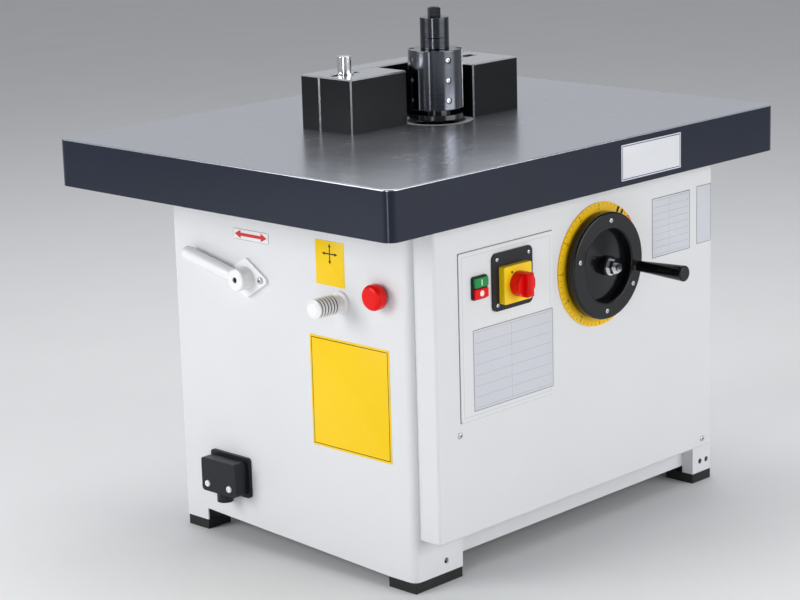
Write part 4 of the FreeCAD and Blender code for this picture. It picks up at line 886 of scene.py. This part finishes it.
# the lock knob's grooves get a dark grey: painted shade between its ribs
RIBBED_WHITE = RibbedPlastic("ribbed_white", (0.86, 0.86, 0.86), (0.20, 0.20, 0.21), *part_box("lock_knob"))
WHITE_PLASTIC = Paint("white_plastic", (0.86, 0.86, 0.86), 0.34, 900.0, 0.00005, 0.03)
INK = Paint("black_ink", (0.01, 0.01, 0.012), 0.4, 900.0, 0.00001, 0.05, 0.0, 0.2)
RED_INK = Paint("red_ink", (0.62, 0.012, 0.015), 0.35, 900.0, 0.00001, 0.05)
ORANGE_INK = Paint("orange_ink", (0.85, 0.16, 0.03), 0.35, 900.0, 0.00001, 0.05)
WHITE_INK = Paint("white_ink", (0.85, 0.85, 0.85), 0.35, 900.0, 0.00001, 0.02)
MOTOR_PAINT = Paint("motor_paint", (0.05, 0.06, 0.07), 0.45, 300.0, 0.0001, 0.08)
BELT_RUBBER = Paint("belt_rubber", (0.02, 0.02, 0.02), 0.7, 700.0, 0.0001, 0.15)
# near-black for the lever bolt: painted shade of its socket
HOLE_DARK = Paint("screw_shadow", (0.02, 0.02, 0.022), 0.6, 900.0, 0.00001, 0.1)

NODE_FINISHES: dict[str, object] = {
    **dict.fromkeys(("cabinet_left", "cabinet_right", "cabinet_rear", "cabinet_front"), ENAMEL),
    "control_cover": COVER_ENAMEL, "control_panel": PANEL_ENAMEL, "foot_pads": PAD_RUBBER, "table": TABLE_IRON,
    "table_ring": RING_STEEL, "cutter_block": CUTTER_STEEL, "cutter_knives": KNIFE_STEEL,
    **dict.fromkeys(("lower_spacer", "upper_spacer", "spindle_nut", "spindle_shaft", "spindle_bearings"),
                    SPINDLE_STEEL),
    **dict.fromkeys(("guide_columns", "lead_screw", "lever_shaft", "fence_studs", "crank_pin"), BRIGHT_STEEL),
    **dict.fromkeys(("fence_bridge", "fence_left", "fence_right"), FENCE_IRON),
    "spindle_flange": BLACK_OXIDE, "handwheel": BLACK_GLOSS, "crank_grip": BLACK_GLOSS,
    **dict.fromkeys(("switch_plate", "button_bezel", "inlet_box", "inlet_gland", "stop_collar"), BLACK_PLASTIC),
    "switch_block": YELLOW_PLASTIC, "dial_ring": DIAL_YELLOW,
    **dict.fromkeys(("switch_knob", "stop_head", "red_button"), RED_PLASTIC), "green_button": GREEN_PLASTIC,
    "lock_knob": RIBBED_WHITE, "lock_sleeve": WHITE_PLASTIC,
    **dict.fromkeys(("clamp_lever", "lever_flange"), WHITE_METAL),
    **dict.fromkeys(("wheel_nut", "wheel_shaft"), CHROME), "fence_nut": NUT_CHROME,
    **dict.fromkeys(("gear_bracket", "screw_bearing", "column_tie", "carriage", "quill", "motor_bracket",
                     "bevel_pinion", "bevel_gear", "spindle_pulley", "motor_pulley"), GREY_IRON),
    **dict.fromkeys(("lead_nut", "shaft_bushing"), BRONZE), "belt": BELT_RUBBER, "motor": MOTOR_PAINT,
}


@dataclass
class Plates:
    """The bare and generic plates stuck on the machine. Places are in millimetres: across, then up."""

    thick: float = 0.7 * MM
    left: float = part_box("cabinet_left")[0].x
    cover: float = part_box("control_cover")[0].y
    panel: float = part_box("control_panel")[0].y
    skirt: float = TABLE_LOW.y

    def plate(self, face: Face, low: tuple[float, float], high: tuple[float, float], plane: float,
              corner: float) -> bpy.types.Object:
        """A thin plate on a face.

        Args:
            face: The face it sits on.
            low: Its low corner, across and up.
            high: Its high corner, across and up.
            plane: The face's own plane.
            corner: Its corner radius.

        Returns:
            The plate, at its place.
        """
        middle = ((low[0] + high[0]) / 2 * MM, (low[1] + high[1]) / 2 * MM)
        point = (plane, middle[0], middle[1]) if face is Face.LEFT else (middle[0], plane, middle[1])
        piece = Shop.slab((high[0] - low[0]) * MM, (high[1] - low[1]) * MM, self.thick, corner * MM, self.thick * 0.3)
        return Shop.shift(piece, at(face, point))

    def printed(self, name: str, face: Face, low: tuple[float, float], high: tuple[float, float], plane: float,
                corner: float, slot: str, **looks: object) -> None:
        """A plate with its print.

        Args:
            name: Its name.
            face: The face it sits on.
            low: Its low corner.
            high: Its high corner.
            plane: The face's plane.
            corner: Its corner radius.
            slot: The record's slot.
            looks: Fields of its print.
        """
        finish = PlatePrint(name + "_print", face, (low[0] * MM, low[1] * MM), (high[0] * MM, high[1] * MM), **looks)
        Shop.hang(self.plate(face, low, high, plane, corner), name, Body.FRAME, finish, slot)

    def build(self) -> None:
        """Makes every plate."""
        pale, ink, yellow = (0.62, 0.635, 0.68), (0.10, 0.105, 0.12), (0.93, 0.61, 0.008)
        self.printed("data_plate", Face.FRONT, (-316, 345), (-87, 503), self.panel, 2, "cabinet_paint", paper=pale,
                     ink=ink, border=0.001, border_inset=0.0004, rows=7, split=0.47)
        self.printed("spec_plate", Face.FRONT, (227.5, 541.5), (352.5, 664.5), self.cover, 1.5, "cabinet_paint",
                     paper=pale, ink=ink, border=0.0011, border_inset=0.0004, rows=8, split=0.44)
        self.printed("side_label", Face.FRONT, (375, 545.5), (423.5, 667), self.cover, 1.5, "cabinet_paint", paper=pale,
                     ink=ink, border=0.0009, border_inset=0.0004)
        self.printed("badge_plate", Face.FRONT, (66, 731), (254, 802), self.skirt, 1.5, "white_plastic",
                     paper=(0.72, 0.73, 0.76), ink=(0.02, 0.03, 0.16), border=0.0016, border_inset=0.0022,
                     roughness=0.25)
        self.printed("notice_plate", Face.LEFT, (-261, 248), (-47.5, 470), self.left, 1.5, "yellow_plastic",
                     paper=yellow, ink=(0.05, 0.04, 0.015), border=0.0016, border_inset=0.004)
        self.printed("height_label", Face.LEFT, (-149, 573), (-72, 660), self.left, 2, "yellow_plastic", paper=yellow,
                     ink=(0.06, 0.045, 0.015))
        self.printed("travel_label", Face.LEFT, (58, 630.5), (160, 652.5), self.left, 4, "white_plastic",
                     paper=(0.82, 0.82, 0.83), ink=(0.25, 0.25, 0.27), border=0.0009, border_inset=0.0)
        self.panel_shadow_line()
        self.arrows()

    def arrows(self) -> None:
        """The plain arrows on the two labels by the height controls."""
        out = self.left - self.thick
        double = Shop.arrow(92 * MM, 6.5 * MM, 17 * MM, 0.2 * MM, True)
        Shop.shift(double, at(Face.LEFT, (out, 109 * MM, 641.5 * MM)))
        Shop.hang(double, "travel_arrow", Body.FRAME, RED_INK, "red_plastic")
        parts = []
        for step in range(4):
            arrow = Shop.arrow(20 * MM, 2.4 * MM, 7 * MM, 0.2 * MM, False)
            turn = Matrix.Rotation(QUARTER * step, 4, "Z") @ Matrix.Translation((6.8 * MM, 0, 0))
            parts.append(Shop.shift(arrow, at(Face.LEFT, (out, -111 * MM, 635 * MM)) @ turn))
        Shop.hang(Shop.join(parts), "height_arrows", Body.FRAME, INK, "black_plastic")

    def panel_shadow_line(self) -> None:
        """A dark sheet under the control panel whose rim shows round it: painted shadow of the panel's edge."""
        low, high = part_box("control_panel")
        # painted shadow: a dark sheet 1.2 mm wider each side than the control panel, whose rim shows round it
        shadow_sheet = Shop.slab(high.x - low.x + 2.4 * MM, high.z - low.z + 2.4 * MM, 0.6 * MM, 1.0 * MM, 0.2 * MM)
        Shop.shift(shadow_sheet, at(Face.FRONT, ((low.x + high.x) / 2, self.cover, (low.z + high.z) / 2)))
        Shop.hang(shadow_sheet, "panel_shadow_sheet", Body.FRAME, PANEL_SHADOW_GREY, "cabinet_paint")


@dataclass
class Switchgear:
    """Screws and marks on the switches."""

    plate_inset: float = 12 * MM
    screw: float = 4.2 * MM

    def build(self) -> None:
        """Makes every piece."""
        low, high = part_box("switch_plate")
        moves = [at(Face.FRONT, (x, low.y, z)) for x in (low.x + self.plate_inset, high.x - self.plate_inset)
                 for z in (low.z + self.plate_inset, high.z - self.plate_inset)]
        Shop.hang(Shop.spread(Shop.screw(self.screw, 2.2 * MM, 1.7 * MM), moves), "switch_plate_screws", Body.FRAME,
                  SCREW_STEEL, "bright_steel")
        low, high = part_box("switch_block")
        moves = [at(Face.FRONT, (low.x + 22 * MM + step, low.y, high.z - 12 * MM - step * 0.5))
                 for step in (0.0, 16 * MM)]
        Shop.hang(Shop.spread(Shop.screw(2.4 * MM, 0.7 * MM, 1.1 * MM), moves), "switch_block_screws", Body.FRAME, INK,
                  "black_plastic")
        self.button_marks()
        low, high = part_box("inlet_box")
        middle = (low.y + high.y) / 2
        moves = [at(Face.LEFT, (low.x, middle + side * 32 * MM, low.z + 23.5 * MM)) for side in (-1, 1)]
        Shop.hang(Shop.spread(Shop.screw(6.8 * MM, 4.0 * MM, 2.6 * MM), moves), "inlet_screws", Body.FRAME,
                  WHITE_PLASTIC, "white_plastic")

    def button_marks(self) -> None:
        """The bar and ring on the start and stop buttons."""
        low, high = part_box("green_button")
        bar = Shop.slab(2.2 * MM, 11 * MM, 0.3 * MM, 0.4 * MM, 0.0)
        Shop.shift(bar, at(Face.FRONT, ((low.x + high.x) / 2, low.y, (low.z + high.z) / 2)))
        Shop.hang(bar, "start_mark", Body.START, WHITE_INK, "white_plastic")
        low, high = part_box("red_button")
        ring = Shop.sink(Shop.disc(5.6 * MM, 0.35 * MM, 0.05 * MM), 1.7 * MM, 0.3 * MM)
        Shop.shift(ring, at(Face.FRONT, ((low.x + high.x) / 2, low.y, (low.z + high.z) / 2)))
        Shop.hang(ring, "halt_mark", Body.HALT, WHITE_INK, "white_plastic")


@dataclass
class Handwheel:
    """The dial's marks and the screws in the wheel's rim."""

    screw_radius: float = 90 * MM
    screw_angles: tuple[float, ...] = (85.0, 166.0, 266.0, 327.0)
    dial_outer: float = 122 * MM
    ticks: int = 60
    numerals: int = 12
    numeral_inset: float = 11 * MM
    block_angles: tuple[float, ...] = (-30.0, -37.0)
    block_inset: float = 5 * MM
    pointer_angle: float = -50.0
    pointer_inset: float = 5.2 * MM

    def build(self) -> None:
        """Makes every piece."""
        centre = Vector((WHEEL_AXIS[0], 0.0, WHEEL_AXIS[2]))
        rim_front = self.rim_front()
        moves = []
        for angle in self.screw_angles:
            turn = math.radians(angle)
            moves.append(at(Face.FRONT, (centre.x + math.cos(turn) * self.screw_radius, rim_front,
                                         centre.z + math.sin(turn) * self.screw_radius)))
        Shop.hang(Shop.spread(Shop.screw(5.0 * MM, 1.6 * MM, 2.2 * MM), moves), "rim_screws", Body.WHEEL, SCREW_STEEL,
                  "bright_steel")
        self.dial(centre)

    def rim_front(self) -> float:
        """The plane of the rim's flat front."""
        points = [vertex.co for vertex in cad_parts["handwheel"].data.vertices]
        outer = [point.y for point in points
                 if (point.x - WHEEL_AXIS[0]) ** 2 + (point.z - WHEEL_AXIS[2]) ** 2 > (90 * MM) ** 2]
        return min(outer)

    def dial(self, centre: Vector) -> None:
        """The scale's ticks, numerals, index blocks and pointer.

        Args:
            centre: The wheel's axis.
        """
        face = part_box("dial_ring")[0].y
        parts = []
        for step in range(self.ticks):
            angle = math.tau * step / self.ticks
            long = 6.5 * MM if step % 5 == 0 else 3.6 * MM
            tick = Shop.slab(0.9 * MM if step % 5 else 1.3 * MM, long, 0.2 * MM, 0.0, 0.0)
            turn = Matrix.Rotation(angle, 4, "Z") @ Matrix.Translation((0, self.dial_outer - long / 2, 0))
            parts.append(Shop.shift(tick, at(Face.FRONT, (centre.x, face, centre.z)) @ turn))
        for step in range(self.numerals):
            angle = math.tau * step / self.numerals
            number = Shop.digits(str((self.numerals - step) % self.numerals * 5), 6.5 * MM, 0.2 * MM)
            inward = Matrix.Translation((0, self.dial_outer - self.numeral_inset, 0.05 * MM))
            turn = Matrix.Rotation(angle, 4, "Z") @ inward
            parts.append(Shop.shift(number, at(Face.FRONT, (centre.x, face, centre.z)) @ turn))
        Shop.hang(Shop.join(parts), "dial_scale", Body.FRAME, INK, "black_plastic")
        blocks = []
        for angle in self.block_angles:
            block = Shop.slab(6 * MM, 12 * MM, 0.4 * MM, 1 * MM, 0.1 * MM)
            inward = Matrix.Translation((0, self.dial_outer - self.block_inset, 0))
            turn = Matrix.Rotation(math.radians(angle), 4, "Z") @ inward
            blocks.append(Shop.shift(block, at(Face.FRONT, (centre.x, face, centre.z)) @ turn))
        Shop.hang(Shop.join(blocks), "dial_index_blocks", Body.FRAME, INK, "black_plastic")
        pointer = Shop.slab(17 * MM, 14 * MM, 1.2 * MM, 3 * MM, 0.4 * MM)
        inward = Matrix.Translation((0, self.dial_outer - self.pointer_inset, 0))
        turn = Matrix.Rotation(math.radians(self.pointer_angle), 4, "Z") @ inward
        Shop.shift(pointer, at(Face.FRONT, (centre.x, face, centre.z)) @ turn)
        Shop.hang(pointer, "dial_pointer", Body.FRAME, ORANGE_INK, "red_plastic")


@dataclass
class SideControls:
    """Bolts of the clamp lever and its flange."""

    bolt_reach: float = 43 * MM

    def build(self) -> None:
        """Makes every piece."""
        low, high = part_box("lever_flange")
        middle = ((low.y + high.y) / 2, (low.z + high.z) / 2)
        moves = [at(Face.LEFT, (low.x, middle[0] + side * self.bolt_reach, middle[1])) for side in (-1, 1)]
        Shop.hang(Shop.spread(Shop.screw(7.0 * MM, 4.5 * MM, 3.2 * MM), moves), "flange_bolts", Body.FRAME, SCREW_STEEL,
                  "bright_steel")
        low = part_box("clamp_lever")[0]
        bolt = Shop.screw(5.6 * MM, 4.0 * MM, 2.8 * MM)
        Shop.shift(bolt, at(Face.LEFT, (low.x + 5 * MM, middle[0], middle[1])))
        # the lever bolt is painted near-black: painted shade of its socket
        Shop.hang(bolt, "lever_bolt", Body.CLAMP, HOLE_DARK, "bright_steel")


@dataclass
class CutterScrews:
    """The clamp screws in the cutter block's pockets."""

    pocket_turn: float = 72.0
    rows: int = 3
    pitch: float = 41 * MM
    floor: float = 50 * MM

    def build(self) -> None:
        """Makes the screws."""
        low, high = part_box("cutter_block")
        middle = (low.z + high.z) / 2
        moves = []
        for quarter in range(4):
            angle = math.radians(self.pocket_turn + 90.0 * quarter)
            out = Vector((math.cos(angle), math.sin(angle), 0.0))
            across = Vector((0, 0, 1)).cross(out)
            turn = Matrix((across, Vector((0, 0, 1)), out)).transposed().to_4x4()
            for row in range(self.rows):
                point = Vector(SPINDLE_AXIS) + out * self.floor + Vector((0, 0, middle + (row - 1) * self.pitch))
                moves.append(Matrix.Translation(point) @ turn)
        Shop.hang(Shop.spread(Shop.screw(5.6 * MM, 3.4 * MM, 3.0 * MM), moves), "cutter_screws", Body.SPINDLE,
                  SCREW_STEEL, "bright_steel")


@dataclass
class SheetWork:
    """Screws of the cover and the rear panel."""

    screw: float = 6.0 * MM

    def build(self) -> None:
        """Makes every piece."""
        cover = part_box("control_cover")[0].y
        moves = [at(Face.FRONT, (x * MM, cover, z * MM)) for x, z in ((-354.5, 307), (396, 122))]
        Shop.hang(Shop.spread(Shop.screw(self.screw, 3.0 * MM, 2.4 * MM), moves), "cover_screws", Body.FRAME,
                  SCREW_STEEL, "bright_steel")
        low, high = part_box("cabinet_rear")
        columns = [low.x + (high.x - low.x) * share for share in (0.02, 0.26, 0.5, 0.74, 0.98)]
        moves = [at(Face.REAR, (x, high.y, z)) for x in columns for z in (low.z + 14 * MM, high.z - 14 * MM)]
        moves += [at(Face.REAR, (x, high.y, (low.z + high.z) / 2)) for x in (columns[0], columns[-1])]
        Shop.hang(Shop.spread(Shop.screw(self.screw, 2.4 * MM, 1.8 * MM), moves), "rear_screws", Body.FRAME,
                  SCREW_STEEL, "bright_steel")


@dataclass
class Stage:
    """Floor, light and the photograph's camera."""

    lens: float = 2348.93 / 800.0 * 36.0
    azimuth: float = -45.733
    elevation: float = 13.721
    roll: float = -1.604
    place: Point = (-3.4438, -3.23055, 1.6004)

    def build(self) -> None:
        """Sets the stage."""
        self.floor()
        self.world()
        self.lamps()
        self.camera()

    def floor(self) -> None:
        """A plain pale floor."""
        Shop.clear()
        bpy.ops.mesh.primitive_plane_add(size=80.0)
        floor = bpy.context.object
        floor.name = "floor"
        dress(floor, Paint("pale_floor", (0.78, 0.785, 0.79), 0.9, 30.0, 0.0, 0.01, 0.0, 0.1))

    def world(self) -> None:
        """A soft room: lighter behind the machine and overhead, dimmer before it."""
        world = bpy.data.worlds.new("soft_room")
        bpy.context.scene.world = world
        world.use_nodes = True
        graph = Graph(world.node_tree)
        way = graph.add("ShaderNodeTexCoord").outputs["Generated"]
        behind = (0.70, 0.68, 0.25)
        ahead = graph.add("ShaderNodeVectorMath", {0: way, 1: behind}, operation="DOT_PRODUCT").outputs["Value"]
        tone = graph.mix(graph.span(ahead, -0.6, 0.7), (0.22, 0.23, 0.25), (0.86, 0.88, 0.92))
        background = world.node_tree.nodes["Background"]
        graph.tree.links.new(tone, background.inputs["Color"])
        background.inputs["Strength"].default_value = 0.6

    def lamps(self) -> None:
        """Large soft lamps from the left, the front and overhead, and a tall strip beside the camera."""
        for name, point, wide, tall, power in (
                ("left_lamp", (-4.0, 1.7, 1.8), 2.4, 2.2, 102.0),
                ("front_lamp", (1.4, -4.7, 1.7), 4.2, 2.6, 132.0),
                ("top_lamp", (0.6, 0.8, 4.2), 3.0, 3.0, 70.0),
                ("strip_lamp", (-2.65, -1.33, 0.85), 0.2, 1.5, 13.0)):
            Shop.clear()
            bpy.ops.object.light_add(type="AREA", location=point)
            lamp = bpy.context.object
            lamp.name = name
            lamp.data.shape = "RECTANGLE"
            lamp.data.size = wide
            lamp.data.size_y = tall
            lamp.data.energy = power
            lamp.rotation_euler = (Vector((0, 0, 0.6)) - Vector(point)).to_track_quat("-Z", "Y").to_euler()

    def camera(self) -> None:
        """The camera at the photograph's place and angle."""
        azimuth, elevation, roll = (math.radians(part) for part in (self.azimuth, self.elevation, self.roll))
        back = Vector((math.sin(azimuth) * math.cos(elevation), -math.cos(azimuth) * math.cos(elevation),
                       math.sin(elevation)))
        right = Vector((math.cos(azimuth), math.sin(azimuth), 0.0))
        upright = back.cross(right)
        across = right * math.cos(roll) + upright * math.sin(roll)
        above = upright * math.cos(roll) - right * math.sin(roll)
        data = bpy.data.cameras.new("photograph")
        data.lens = self.lens
        data.sensor_width = 36.0
        data.clip_end = 200.0
        camera = bpy.data.objects.new("photograph", data)
        bpy.context.collection.objects.link(camera)
        camera.matrix_world = Matrix.Translation(self.place) @ Matrix((across, above, back)).transposed().to_4x4()
        bpy.context.scene.camera = camera


def main() -> None:
    """Builds and dresses every sub-assembly and sets the stage."""
    logging.basicConfig(level=logging.INFO, format="%(name)s %(message)s")
    EFFECTS.build()
    for name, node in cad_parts.items():
        dress(node, NODE_FINISHES[name])
    for assembly in (Plates(), Switchgear(), Handwheel(), SideControls(), CutterScrews(), SheetWork(), Stage()):
        assembly.build()
        LOG.info("%s built", type(assembly).__name__)
    bpy.context.scene.view_settings.view_transform = "Standard"
    bpy.context.view_layer.update()


if __name__ == "__main__":
    main()
